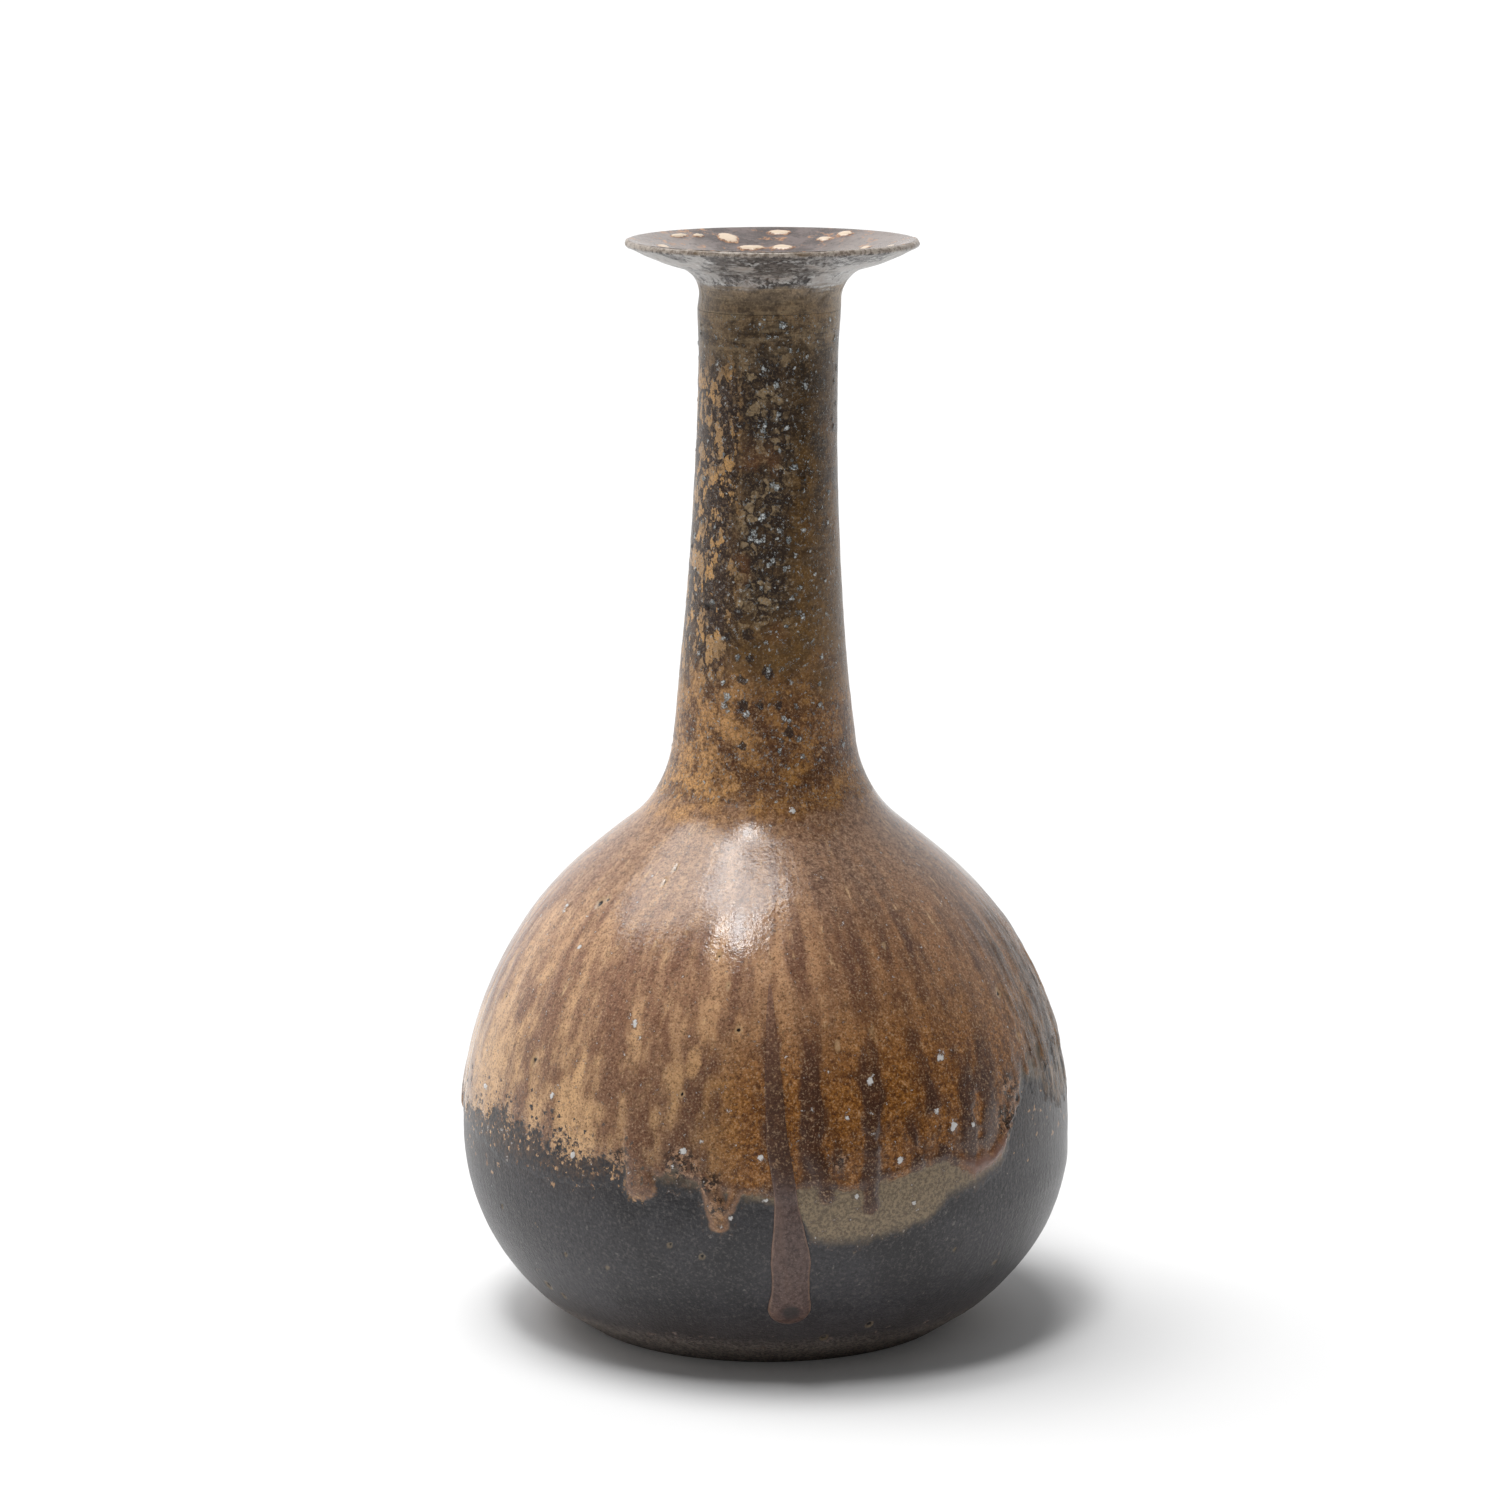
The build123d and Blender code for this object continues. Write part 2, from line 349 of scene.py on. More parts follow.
def place(piece, turn, section, out, offset):
    """Sets a turned piece's vertices, moved outward by offset and with the lean the pot took in the kiln."""
    moved = section + out * offset[:, None]
    points = on_wall(turn, moved)
    points[:, 0] += np.interp(moved[:, 1], lean_heights, lean_right)
    piece.data.vertices.foreach_set("co", (points / 1000).ravel())
    piece.data.shade_smooth()
    piece.data.set_sharp_from_angle(angle=radians(crease_angle))
    piece.data.update()


def paint(piece, **layers):
    """Stores values for each vertex, which a material reads by name."""
    for name, values in layers.items():
        layer = piece.data.attributes.new(name, "FLOAT", "POINT")
        layer.data.foreach_set("value", np.asarray(values, np.float32))


def ease(value, low, high):
    """Goes smoothly from 0 at low to 1 at high."""
    part = np.clip((value - low) / (high - low), 0, 1)
    return part * part * (3 - 2 * part)


def between(value, start, full, fading, end):
    """Rises smoothly from 0 at start to 1 at full, and falls back to 0 from fading to end."""
    return ease(value, start, full) * (1 - ease(value, fading, end))


def out_of_round(turn, height):
    """How far the thrown belly stands out from a true round: low on its right and high on its left, in mm."""
    low_on_right = ease(np.sin(turn), 0.4, 0.9) * between(height, 10, 22, 32, 39)
    high_on_left = ease(-np.sin(turn), 0.4, 0.9) * between(height, 74, 88, 98, 106)
    return 0.45 * low_on_right + 0.3 * high_on_left


underside = np.column_stack((np.linspace(0, foot_radius - flat_foot_inset, 12), np.zeros(12)))
bevel_tilt = degrees(atan2(bevel_height, bevel_radius - foot_radius))
foot_edge = arc((foot_radius - foot_edge_inset, foot_edge_radius), foot_edge_radius, -90, bevel_tilt - 90, 5)
bevel = np.linspace(foot_edge[-1], (bevel_radius, bevel_height), 12)
inner_wall = inset(up_wall(16, joint_height, 5), belly_wall)
inner_wall = inner_wall[inner_wall[:, 1] < joint_height - 0.5]
bore_radius = waist_radius - neck_wall
corner_middle = (inner_wall[0, 0] - floor_corner, floor_thickness + floor_corner)
inner_floor = arc(corner_middle, floor_corner, -20, -90, 6)
inside = np.concatenate((
    [(outer_radius(np.array(joint_height)) - neck_wall, joint_height)], inner_wall[::-1], inner_floor,
    np.column_stack((np.linspace(inner_floor[-1, 0], 0, 8), np.full(8, floor_thickness))),
))
bare_wall = up_wall(bevel_height, bare_up_to, fine_step)
covered_wall = up_wall(bare_up_to, joint_height, plain_step)
clay_body, turn, section, out = turned(
    "clay_body", [underside, foot_edge, bevel, bare_wall, covered_wall, inside], steps=512, closed=False
)
points = on_wall(turn, section)
height = section[:, 1]
around = np.degrees(turn)
outside = out[:, 0] > 0.2
lower = ease(height, 1, 8) * outside
throwing = lumps(points * (0.15, 0.15, 1), 1.3, 2)
unevenness = -0.10 - 0.07 * lumps(points, 16, 1) - 0.03 * throwing
unevenness = unevenness * np.maximum(lower, 0.25) + out_of_round(turn, height)
offset = np.where(outside, unevenness - drawn_in_under_coat * ease(height, 62, 70), 0)

pinholes = [  # (degrees, height, size)
    (-42, 24, 0.6), (-12, 28, 0.8), (-32, 23, 0.5), (16.5, 29, 0.6), (-18, 30, 0.7), (23.5, 10.5, 1.0),
    (13.5, 8, 1.1), (52, 20, 0.7), (-54, 14, 1.3), (-50, 12.5, 0.9), (38, 26, 0.5), (-60, 30, 0.6),
    (128, 22, 0.8), (160, 30, 0.6), (-140, 18, 0.9), (-105, 27, 0.7),
]


def wrapped(turn, around):
    """Angle in radians from a place round the bottle, the shorter way."""
    return (turn - np.radians(around) + np.pi) % (2 * np.pi) - np.pi


def near(turn, section, around, height, size):
    """1 at a place on the surface, falling to 0 at size mm from it."""
    across = wrapped(turn, around) * section[:, 0]
    return np.clip(1 - np.hypot(across, section[:, 1] - height) / size, 0, 1)


def spots(turn, section, places):
    """Rounded spots at (angle, height, size), each 1 at its middle and 0 at its edge."""
    total = np.zeros(len(turn))
    for around, height, size in places:
        total = np.maximum(total, near(turn, section, around, height, size))
    return total


def streaks(turn, height, width, length, seed):
    """Unevenness from -1 to 1 drawn out down the belly, which sways a little as it goes."""
    around_wall = np.column_stack((belly_radius * np.sin(turn), belly_radius * np.cos(turn), height))
    sway = (1.5 * lumps(around_wall, 12, seed) + 0.6 * lumps(around_wall, 4.5, seed + 1)) / belly_radius
    swayed = turn + sway
    drawn = (belly_radius * np.sin(swayed), belly_radius * np.cos(swayed), height * width / length)
    return lumps(np.column_stack(drawn), width, seed + 2)


hole = spots(turn, section, pinholes) * outside
chipped = ease(lumps(points * (0.55, 0.55, 1), 1.0, 5) + 0.6 * lumps(points, 0.8, 6), 0.62, 0.95)
chipped *= outside * between(height, 2.0, 4.0, 7.5, 10.5)
rough_bevel = between(height, 0.5, 2, 5.6, 9) * outside
offset -= pinhole_depth * ease(hole, 0.2, 0.8) + chip_depth * chipped
offset -= bevel_roughness * rough_bevel * np.clip(lumps(points, 1.4, 7), 0, 1)
place(clay_body, turn, section, out, offset)
dusted = 0.55 * between(-around, 26, 36, 88, 110) * ease(height, 33, 45)
dusted += 0.35 * between(around, 46, 54, 104, 120) * ease(height, 38, 46)
paint(clay_body, pinhole=hole, chip=chipped, dusted=dusted * outside)


def seen_colour(red, green, blue):
    """A colour given as it looks on a screen, 0 to 255, as Blender's linear values."""
    value = np.array((red, green, blue)) / 255
    linear = np.where(value <= 0.04045, value / 12.92, ((value + 0.055) / 1.055) ** 2.4)
    return tuple(float(v) for v in linear) + (1.0,)


def new_group(name, inputs, outputs):
    """A shader node group with named inputs, as (name, kind, value), and named outputs, as (name, kind)."""
    tree = bpy.data.node_groups.new(name, "ShaderNodeTree")
    for socket, kind, value in inputs:
        made = tree.interface.new_socket(socket, in_out="INPUT", socket_type="NodeSocket" + kind)
        made.default_value = value
    for socket, kind in outputs:
        tree.interface.new_socket(socket, in_out="OUTPUT", socket_type="NodeSocket" + kind)
    return tree, tree.nodes.new("NodeGroupInput").outputs, tree.nodes.new("NodeGroupOutput").inputs


def give(outlets, **values):
    """Links values to the outputs of the node group that they were made in."""
    for name, value in values.items():
        value.id_data.links.new(value, outlets[name.replace("_", " ")])


def use(tree, group, **inputs):
    """Places a node group and returns its outputs."""
    return put(tree, "Group", {"node_tree": group}, **inputs).outputs


def painted(tree, name):
    """A value that was stored for each vertex."""
    return put(tree, "Attribute", {"attribute_name": name}).outputs["Fac"]


def maths(operation, first, second=0.0, clamp=False):
    """One step of arithmetic, in the node tree of the value that it works on, as in the steps below."""
    tree = (first if isinstance(first, bpy.types.NodeSocket) else second).id_data
    return put(tree, "Math", {"operation": operation, "use_clamp": clamp}, i0=first, i1=second).outputs[0]


def times(first, second):
    """Product of two values."""
    return maths("MULTIPLY", first, second)


def vector_maths(operation, first, second):
    """One step of arithmetic on vectors."""
    return put(first.id_data, "VectorMath", {"operation": operation}, i0=first, i1=second).outputs[0]


def summed(first, second, share):
    """First plus a share of second."""
    settings = {"operation": "MULTIPLY_ADD"}
    return put(second.id_data, "Math", settings, i0=second, i1=share, i2=first).outputs[0]


def rougher(value, noise, share):
    """A value made uneven by a share of a noise, which lies round 0.5."""
    return summed(value, maths("SUBTRACT", noise, 0.5), share)


def band(value, low, high):
    """Smooth mask from 0 at low to 1 at high."""
    settings = {"interpolation_type": "SMOOTHSTEP"}
    return put(value.id_data, "MapRange", settings, Value=value, From_Min=low, From_Max=high).outputs[0]


def spread(value, low, high, least, most):
    """A value's stretch from low to high laid out from least to most."""
    return put(
        value.id_data, "MapRange", Value=value, From_Min=low, From_Max=high, To_Min=least, To_Max=most
    ).outputs[0]


def cloud(vector, size, detail=3.0, rough=0.55):
    """Noise with features about size mm across, round 0.5."""
    return put(
        vector.id_data, "TexNoise", Vector=vector, Scale=1000.0 / size, Detail=detail, Roughness=rough
    ).outputs["Fac"]


def mixed(mask, first, second):
    """Colour going from first to second as mask goes from 0 to 1. A triple is a seen colour."""
    first, second = (seen_colour(*tone) if isinstance(tone, tuple) else tone for tone in (first, second))
    return put(mask.id_data, "Mix", {"data_type": "RGBA"}, i0=mask, i6=first, i7=second).outputs[2]


def tinted(colour, *layers):
    """Colour with tones laid over it in turn, given as (mask, strength at most, tone)."""
    for mask, strength, tone in layers:
        colour = mixed(mask if strength == 1 else times(mask, strength), colour, tone)
    return colour


tree, given, gives = new_group(
    "round_the_pot", [("Run Length", "Float", 7.0)],
    [("Plain", "Vector"), ("Runs", "Vector"), ("Rings", "Vector"), ("Height", "Float"), ("Right", "Float")],
)
round_pot = tree
plain = put(tree, "TexCoord").outputs["Object"]
axes = put(tree, "SeparateXYZ", Vector=plain).outputs
reach = maths("SQRT", maths("ADD", times(axes["X"], axes["X"]), times(axes["Y"], axes["Y"])))
reach = maths("MAXIMUM", reach, 0.001)
right = maths("DIVIDE", axes["X"], reach)
back = maths("DIVIDE", axes["Y"], reach)
runs = put(
    tree, "CombineXYZ", X=times(right, belly_radius / 1000), Y=times(back, belly_radius / 1000),
    Z=maths("DIVIDE", axes["Z"], given["Run Length"]),
).outputs[0]
rings = vector_maths("MULTIPLY", plain, (0.12, 0.12, 1))
give(gives, Plain=plain, Runs=runs, Rings=rings, Right=right, Height=times(axes["Z"], 1000.0))


def bent_cells(given, bend_size, detail):
    """Vector and scale of cells about Spacing mm apart whose borders are bent by noise."""
    scale = maths("DIVIDE", 1000.0, given["Spacing"])
    bent = put(
        scale.id_data, "TexNoise", Vector=given["Vector"], Scale=times(scale, bend_size), Detail=detail
    ).outputs["Color"]
    away = vector_maths("SUBTRACT", bent, (0.5, 0.5, 0.5))
    bend = put(
        scale.id_data, "VectorMath", {"operation": "SCALE"}, i0=away, Scale=maths("DIVIDE", 1.5, scale)
    ).outputs[0]
    return {"Vector": vector_maths("ADD", given["Vector"], bend), "Scale": scale}


tree, given, gives = new_group(
    "stray_grains",
    [
        ("Vector", "Vector", (0, 0, 0)), ("Spacing", "Float", 2.0), ("Share", "Float", 0.2),
        ("Size", "Float", 0.3),
    ],
    [("Mask", "Float"), ("Tone", "Float")],
)
stray_grains = tree
cells = put(tree, "TexVoronoi", **bent_cells(given, 1.8, 5.0)).outputs
tone = put(tree, "SeparateColor", Color=cells["Color"]).outputs
chosen = maths("LESS_THAN", tone[0], given["Share"])
reached = times(given["Size"], maths("ADD", tone[1], 0.4))
body = maths("SUBTRACT", 1.0, maths("DIVIDE", cells["Distance"], reached), clamp=True)
give(gives, Mask=times(band(body, 0.0, 0.35), chosen), Tone=tone[2])

tree, given, gives = new_group(
    "ash_cells", [("Vector", "Vector", (0, 0, 0)), ("Spacing", "Float", 1.5)],
    [("Body", "Float"), ("Tone", "Float")],
)
ash_cells = tree
bent = bent_cells(given, 0.8, 3.0)
border = put(tree, "TexVoronoi", {"feature": "DISTANCE_TO_EDGE"}, **bent).outputs["Distance"]
cells = put(tree, "TexVoronoi", **bent).outputs
give(gives, Body=band(border, 0.0, 0.22), Tone=put(tree, "SeparateColor", Color=cells["Color"]).outputs[0])

finish = [("Color", "Color"), ("Roughness", "Float"), ("Height", "Float")]
tree, given, gives = new_group("fired_clay", [], finish)
fired_clay = tree
pot = use(tree, round_pot, Run_Length=3.0)
plain, runs = pot["Plain"], pot["Runs"]
broad = cloud(plain, 24, 4)
fine = cloud(plain, 0.7, 4, 0.75)
dust = use(tree, stray_grains, Vector=plain, Spacing=1.4, Share=0.16, Size=0.20)
stones = use(tree, stray_grains, Vector=plain, Spacing=4.2, Share=0.22, Size=0.08)
colour = tinted(
    mixed(band(broad, 0.36, 0.66), (31, 28, 31), (56, 54, 58)),
    (band(fine, 0.51, 0.66), 0.55, (104, 98, 94)),
    (band(fine, 0.49, 0.34), 0.70, (16, 14, 15)),
    (band(pot["Height"], 17.0, 7.0), 0.35, (104, 96, 94)),
    (band(pot["Height"], 9.0, 4.5), 0.85, mixed(band(fine, 0.4, 0.62), (74, 64, 59), (172, 158, 148))),
    (dust["Mask"], 0.5, (134, 128, 122)),
    (stones["Mask"], 0.85, mixed(stones["Tone"], (156, 122, 88), (186, 188, 190))),
)
grain = summed(cloud(plain, 0.6, 3, 0.6), cloud(runs, 1.6, 3, 0.6), 0.9)
satin = spread(broad, 0.3, 0.7, 0.27, 0.38)
give(gives, Color=colour, Roughness=satin, Height=summed(grain, stones["Mask"], 0.5))


def skin(tree, colour, rough, height, depth, shine=0.5):
    """Finishes a material: one glossy body with its colour, roughness and the relief of its surface."""
    relief = put(tree, "Bump", Height=height, Distance=depth / 1000, Strength=1.0)
    body = put(
        tree, "BsdfPrincipled", Base_Color=colour, Roughness=rough, Normal=relief.outputs[0],
        Specular_IOR_Level=shine,
    )
    put(tree, "OutputMaterial", Surface=body.outputs[0])


bare_stoneware, tree = bare_material("bare_stoneware")
clay = use(tree, fired_clay)
plain = use(tree, round_pot)["Plain"]
crumb = cloud(plain, 0.8, 3, 0.7)
dusted = painted(tree, "dusted")
pinhole = painted(tree, "pinhole")
flecks = use(tree, stray_grains, Vector=plain, Spacing=1.4, Size=0.40, Share=times(dusted, 0.6))
colour = tinted(
    clay["Color"],
    (times(band(crumb, 0.62, 0.46), dusted), 0.7, (66, 48, 36)),
    (flecks["Mask"], 0.85, mixed(flecks["Tone"], (128, 92, 62), (200, 158, 116))),
    (
        band(rougher(painted(tree, "chip"), crumb, 1.4), 0.45, 0.6), 0.8,
        mixed(band(crumb, 0.40, 0.62), (92, 66, 54), (170, 154, 146)),
    ),
    (band(pinhole, 0.02, 0.3), 0.6, (140, 122, 96)),
)
# The near-black inside of each pinhole is painted shade in the hole.
colour = mixed(band(pinhole, 0.42, 0.62), colour, (16, 13, 13))
skin(tree, colour, clay["Roughness"], clay["Height"], 0.16)
clay_body.data.materials.append(bare_stoneware)
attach(clay_body, "root")
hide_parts("body")

# ---- Ash coat ----
# Wood ash that settled on shoulder and belly and melted into a brown glass. It thins to specks on the left,
# leaves an olive film right of the long run, and stops in tongues and a rolled bead where it ran.
glass_thickness = 0.26
film_thickness = 0.06
neck_film = 0.1
coat_bottom = 27.0
coat_depth = 1.2
film_feather = 0.14
neck_side_from = 105.0
film_edge = [  # (degrees, height) of the lower edge of the thin ash film
    (-180, 46), (-160, 43), (-140, 47), (-120, 48), (-100, 45), (-88, 44), (-73, 43), (-66, 43), (-58, 41),
    (-49, 41), (-39, 40.5), (-31, 41), (-28, 42), (-19, 42), (-15, 41.5), (-11, 41), (-5, 40), (0, 39.5),
    (6, 37), (8, 31.5), (11, 30.4), (17, 30.3), (21, 30.8), (25, 31.4), (30, 32.8), (33, 35), (35, 37.2),
    (37, 38.2), (41, 38.6), (48, 41.6), (51, 46), (54, 54), (60, 55.5), (65, 53.5), (70, 51), (77, 48),
    (90, 49), (104, 46), (126, 50), (140, 46), (156, 43), (168, 47),
]
glass_edge = [  # (degrees, height) of the lower edge of the melted glass
    (-180, 50), (-160, 46), (-140, 50), (-120, 51), (-100, 47), (-88, 46), (-73, 46.5), (-66, 48),
    (-59, 50), (-50, 48), (-43, 47), (-39, 46.3), (-34, 45.8), (-31, 45.7), (-27, 44.5), (-19.5, 43.5),
    (-17, 47), (-14.8, 44), (-11.5, 42.4), (-5, 41.4), (-1.8, 41.6), (0.4, 40.8), (8, 42.7), (15, 41.6),
    (20, 42.2), (25, 43), (29.4, 44.6), (34, 44.6), (37.6, 43.3), (41, 40.6), (45, 42), (48, 44), (50, 48),
    (53, 52), (57, 57), (63, 59.5), (70, 58.5), (80, 57.5), (90, 57), (104, 55), (126, 56), (140, 52),
    (156, 47), (168, 50),
]
tongues = [  # (path from head to tip as (degrees, height), half width, height of the glass over its bed)
    ([(-24.5, 60), (-24, 50), (-23.2, 41.8)], 3.0, 0.45),
    ([(-11.5, 50), (-10, 42), (-8.4, 35.4)], 2.0, 0.35),
    ([(-4.5, 46), (-5.6, 41.5), (-6.6, 38.4)], 1.0, 0.25),
    ([(8.6, 60), (8.2, 50), (10.8, 40.4)], 1.5, 0.35),
    ([(19.6, 62), (19.2, 48), (19, 38.2)], 1.7, 0.45),
    ([(25.5, 58), (28.5, 45.5)], 1.3, 0.3),
    ([(-95.5, 56), (-95.5, 43)], 2.6, 0.8),
    ([(104, 62), (105, 47)], 3.0, 0.6),
    ([(-150, 62), (-150, 41)], 2.8, 0.6),
    ([(-122, 60), (-121, 46)], 2.2, 0.4),
    ([(148, 60), (150, 42)], 2.4, 0.4),
    ([(172, 60), (173, 45)], 2.0, 0.1),
]
dark_runs = [  # (path from head to tip, half width) of the purple-brown runs of thicker glass down the belly
    ([(0.4, 86), (0.8, 75), (1.2, 62), (2, 48)], 1.7),
    ([(10.5, 80), (8.8, 66), (8, 50), (10.8, 40.2)], 1.7),
    ([(23, 78), (19.8, 62), (19.2, 48), (19, 37.6)], 1.8),
    ([(30, 76), (31.4, 62), (33, 50), (34.5, 45)], 1.7),
    ([(37, 74), (41, 60), (40.3, 44.5)], 1.9),
    ([(50, 74), (46.5, 61), (44, 48)], 2.0),
    ([(22, 63), (27, 54), (28.5, 45)], 1.4),
    ([(31, 56), (36, 50), (40, 45)], 1.2),
    ([(14, 56), (13.2, 47)], 1.3),
    ([(-17, 90), (-19, 76), (-23.5, 60), (-23.3, 42)], 2.3),
    ([(-6, 84), (-11, 68), (-13, 58)], 1.9),
    ([(-34, 84), (-31, 70), (-32, 58)], 1.6),
    ([(-46, 96), (-48, 80), (-50, 66)], 1.7),
]
thin_places = [  # (degrees, height, half width, half height) where the glass is thin and shows amber
    (4.6, 56, 1.5, 5.0), (15, 54.5, 2.2, 5.5), (16.2, 70, 1.8, 4.0), (14.4, 43.6, 2.4, 1.8),
    (25.2, 60.6, 2.0, 4.6), (23.4, 50.8, 1.4, 3.6), (34, 69, 1.9, 4.0), (36, 60, 1.6, 3.0),
    (34, 52, 3.2, 2.8), (43, 54, 1.4, 4.6), (44.6, 72, 1.5, 4.0), (25, 46.5, 2.4, 1.8), (-6, 51, 3.2, 6.5),
    (-7, 62, 2.2, 3.0), (-1.6, 45.6, 2.0, 3.6), (5, 44, 0.8, 4.0), (-14, 66, 1.4, 3.0),
    (-20, 100, 1.0, 2.4), (4, 92, 1.2, 2.4), (12, 84, 1.2, 3.0),
]
feldspar = [  # (degrees, height, size) of white grains that stand out of the glass
    (36, 65, 1.2), (20, 62, 1.1), (36.4, 51.6, 1.5), (33, 55, 0.9), (24.8, 46.6, 1.0), (-1, 48.5, 1.0),
    (-15, 49.4, 0.9), (-37.6, 45.6, 1.0), (-67, 53, 1.0), (-44, 56, 1.0), (-28, 71.6, 0.9), (-65, 88, 1.1),
    (-50, 83, 0.8), (15, 55.6, 0.6), (32, 35, 0.5), (27.5, 37.6, 0.7), (16.3, 40.2, 0.8), (0, 40.2, 0.5),
    (-12, 51.4, 0.6), (41, 51, 0.8), (-17, 46, 0.8), (-6.4, 36.4, 0.8), (110, 66, 1.1), (150, 58, 0.9),
    (-130, 62, 1.0), (-160, 74, 0.9), (60, 90, 0.7), (14, 108.5, 0.9),
]
coat_pits = [  # (degrees, height, size)
    (-11.4, 84.7, 0.7), (-8.5, 79.4, 0.7), (-5.7, 72, 0.9), (14.2, 68.8, 0.8), (58.6, 73, 1.1),
    (60, 64.3, 0.9), (-51, 61.5, 1.3), (-33, 98, 0.8), (-34.2, 95.5, 0.8), (-52.5, 90.3, 1.2),
    (-50.5, 91.2, 0.8), (-16, 60, 0.7), (30, 85, 0.6), (-70, 70, 0.9), (120, 80, 0.9), (150, 64, 1.0),
    (-120, 86, 0.9),
]
rough_places = [  # (degrees, height, size) where the glass crumbled into grit
    (50, 50, 5), (53, 56, 4), (13.3, 47.4, 2.2), (-8.8, 38.8, 3.0), (-10.6, 43.5, 3.4), (-27.5, 46.5, 3.0),
]
bead_rise = 0.7
edge_roll = 0.10
streak_relief = 0.10
feldspar_rise = 0.22
coat_pit_depth = 0.4


def fired_edge(turn, edge):
    """Height of an edge round the bottle, between its named places."""
    around, heights = zip(*edge)
    return np.interp(np.degrees(turn), around, heights, period=360)


def inside_run(turn, section, path, half_width):
    """How far inside the outline of a run a place is, in mm, with a round head and tip."""
    arounds, heights = zip(*path)
    height = section[:, 1]
    across = wrapped(turn, np.interp(height, heights[::-1], arounds[::-1])) * section[:, 0]
    past = np.maximum(height - heights[0], 0) + np.maximum(heights[-1] - height, 0)
    return half_width - np.hypot(across, past)


def hump(value, middle, width):
    """1 at middle, falling away smoothly over about width to either side."""
    return np.exp(-(((value - middle) / width) ** 2))


coat_under = inset(up_wall(coat_bottom, joint_height, 9), coat_depth)
coat_under = coat_under[coat_under[:, 1] < joint_height - 1]
coat_top = (outer_radius(np.array(joint_height)) - coat_depth, joint_height)
ash_coat, turn, section, out = turned(
    "ash_coat",
    [up_wall(coat_bottom, bare_up_to, 0.46), up_wall(bare_up_to, neck_side_from, 1.0),
     up_wall(neck_side_from, joint_height, 0.4), [coat_top], coat_under[::-1]],
    steps=640, closed=True,
)
points = on_wall(turn, section)
height = section[:, 1]
around = np.degrees(turn)
surface = out[:, 0] > 0.1

# Where the film and the glass end: crumbling on the left, in drips and ridges on the right flank.
speckled = ease(-np.sin(turn), 0.30, 0.50) * (1 - 0.65 * ease(-around, 88, 100))
wander = lumps(points, 3.2, 11) + 0.6 * lumps(points, 1.5, 12)
fine_wander = lumps(points, 0.9, 13)
drips = streaks(turn, height, 2.2, 12, 75)
ridges = streaks(turn, height, 1.2, 7, 78)
ragged_right = between(around, 46, 54, 100, 120)
film = height - fired_edge(turn, film_edge) + 0.6 * wander + 0.4 * fine_wander
film += ragged_right * (1.5 * drips + 1.0 * fine_wander)
glass = height - fired_edge(turn, glass_edge)
glass += (0.6 + 1.0 * speckled) * wander + (0.3 + 1.2 * speckled) * fine_wander
glass += ragged_right * (2.5 * drips + 1.2 * wander + 1.6 * fine_wander)
swell = np.zeros(len(turn))
tongue = np.full(len(turn), -50.0)
for path, half_width, rise in tongues:
    inside_it = inside_run(turn, section, path, half_width) + 0.4 * wander
    tongue = np.maximum(tongue, inside_it)
    dome = np.sqrt(np.clip(1 - (1 - np.clip(inside_it / half_width, 0, 1)) ** 2, 0, 1))
    swell = np.maximum(swell, rise * dome * ease(path[0][1] - height, 0, 12))
glass = np.maximum(glass, tongue)
film = np.maximum(film, tongue + 0.3)

# How thick the glass lies: streaks down the belly, named dark runs, and thin places that show amber.
low_right = between(around, -18, 0, 58, 72) * (1 - ease(height, 66, 84))
low_left = between(-around, 26, 38, 90, 110) * (1 - ease(height, 56, 70))
thick = 0.75 * streaks(turn, height, 4.4, 26, 61) + 0.50 * streaks(turn, height, 1.9, 12, 71)
thick = thick * (1 - 0.5 * low_right) - 0.42 * low_right - 0.25 * low_left
thick += 0.30 * lumps(points * (1, 1, 0.7), 2.8, 81)
for path, half_width in dark_runs:
    uneven = half_width * (0.75 + 0.5 * lumps(points, 6, 91))
    inside_it = inside_run(turn, section, path, uneven) + 0.55 * wander
    strength = ease(path[0][1] - height, -4, 28) * (0.45 + 0.55 * low_right)
    thick += (1.0 - np.minimum(thick, 0.9)) * ease(inside_it, -1.3, 0.8) * strength
for place_around, place_height, half_width, half_height in thin_places:
    across = wrapped(turn, place_around) * section[:, 0] / half_width
    apart = np.hypot(across, (height - place_height) / half_height) + 0.34 * wander + 0.3 * fine_wander
    thick -= (thick + 0.85) * (1 - ease(apart, 0.45, 1.3))
thick += 0.5 * hump(glass, 1.2, 1.3) * (1 - speckled) * between(around, -30, -20, 56, 64)
settled = ease(height, 96, 107)
thick *= 1 - settled

rough_patch = np.maximum(spots(turn, section, rough_places), 0.9 * near(turn, section, -15.5, 46.5, 5.5))
flank_start = around + 3.0 * wander + 5.0 * drips
flank = ease(flank_start, 54, 72) * (1 - ease(around, 100, 125)) * (1 - ease(height, 74, 92))
white = spots(turn, section, feldspar) * (1 + 0.5 * lumps(points, 0.8, 17))
pit = spots(turn, section, coat_pits)
bead = between(around, 36, 42, 51, 54) * hump(glass, 1.4, 1.5)

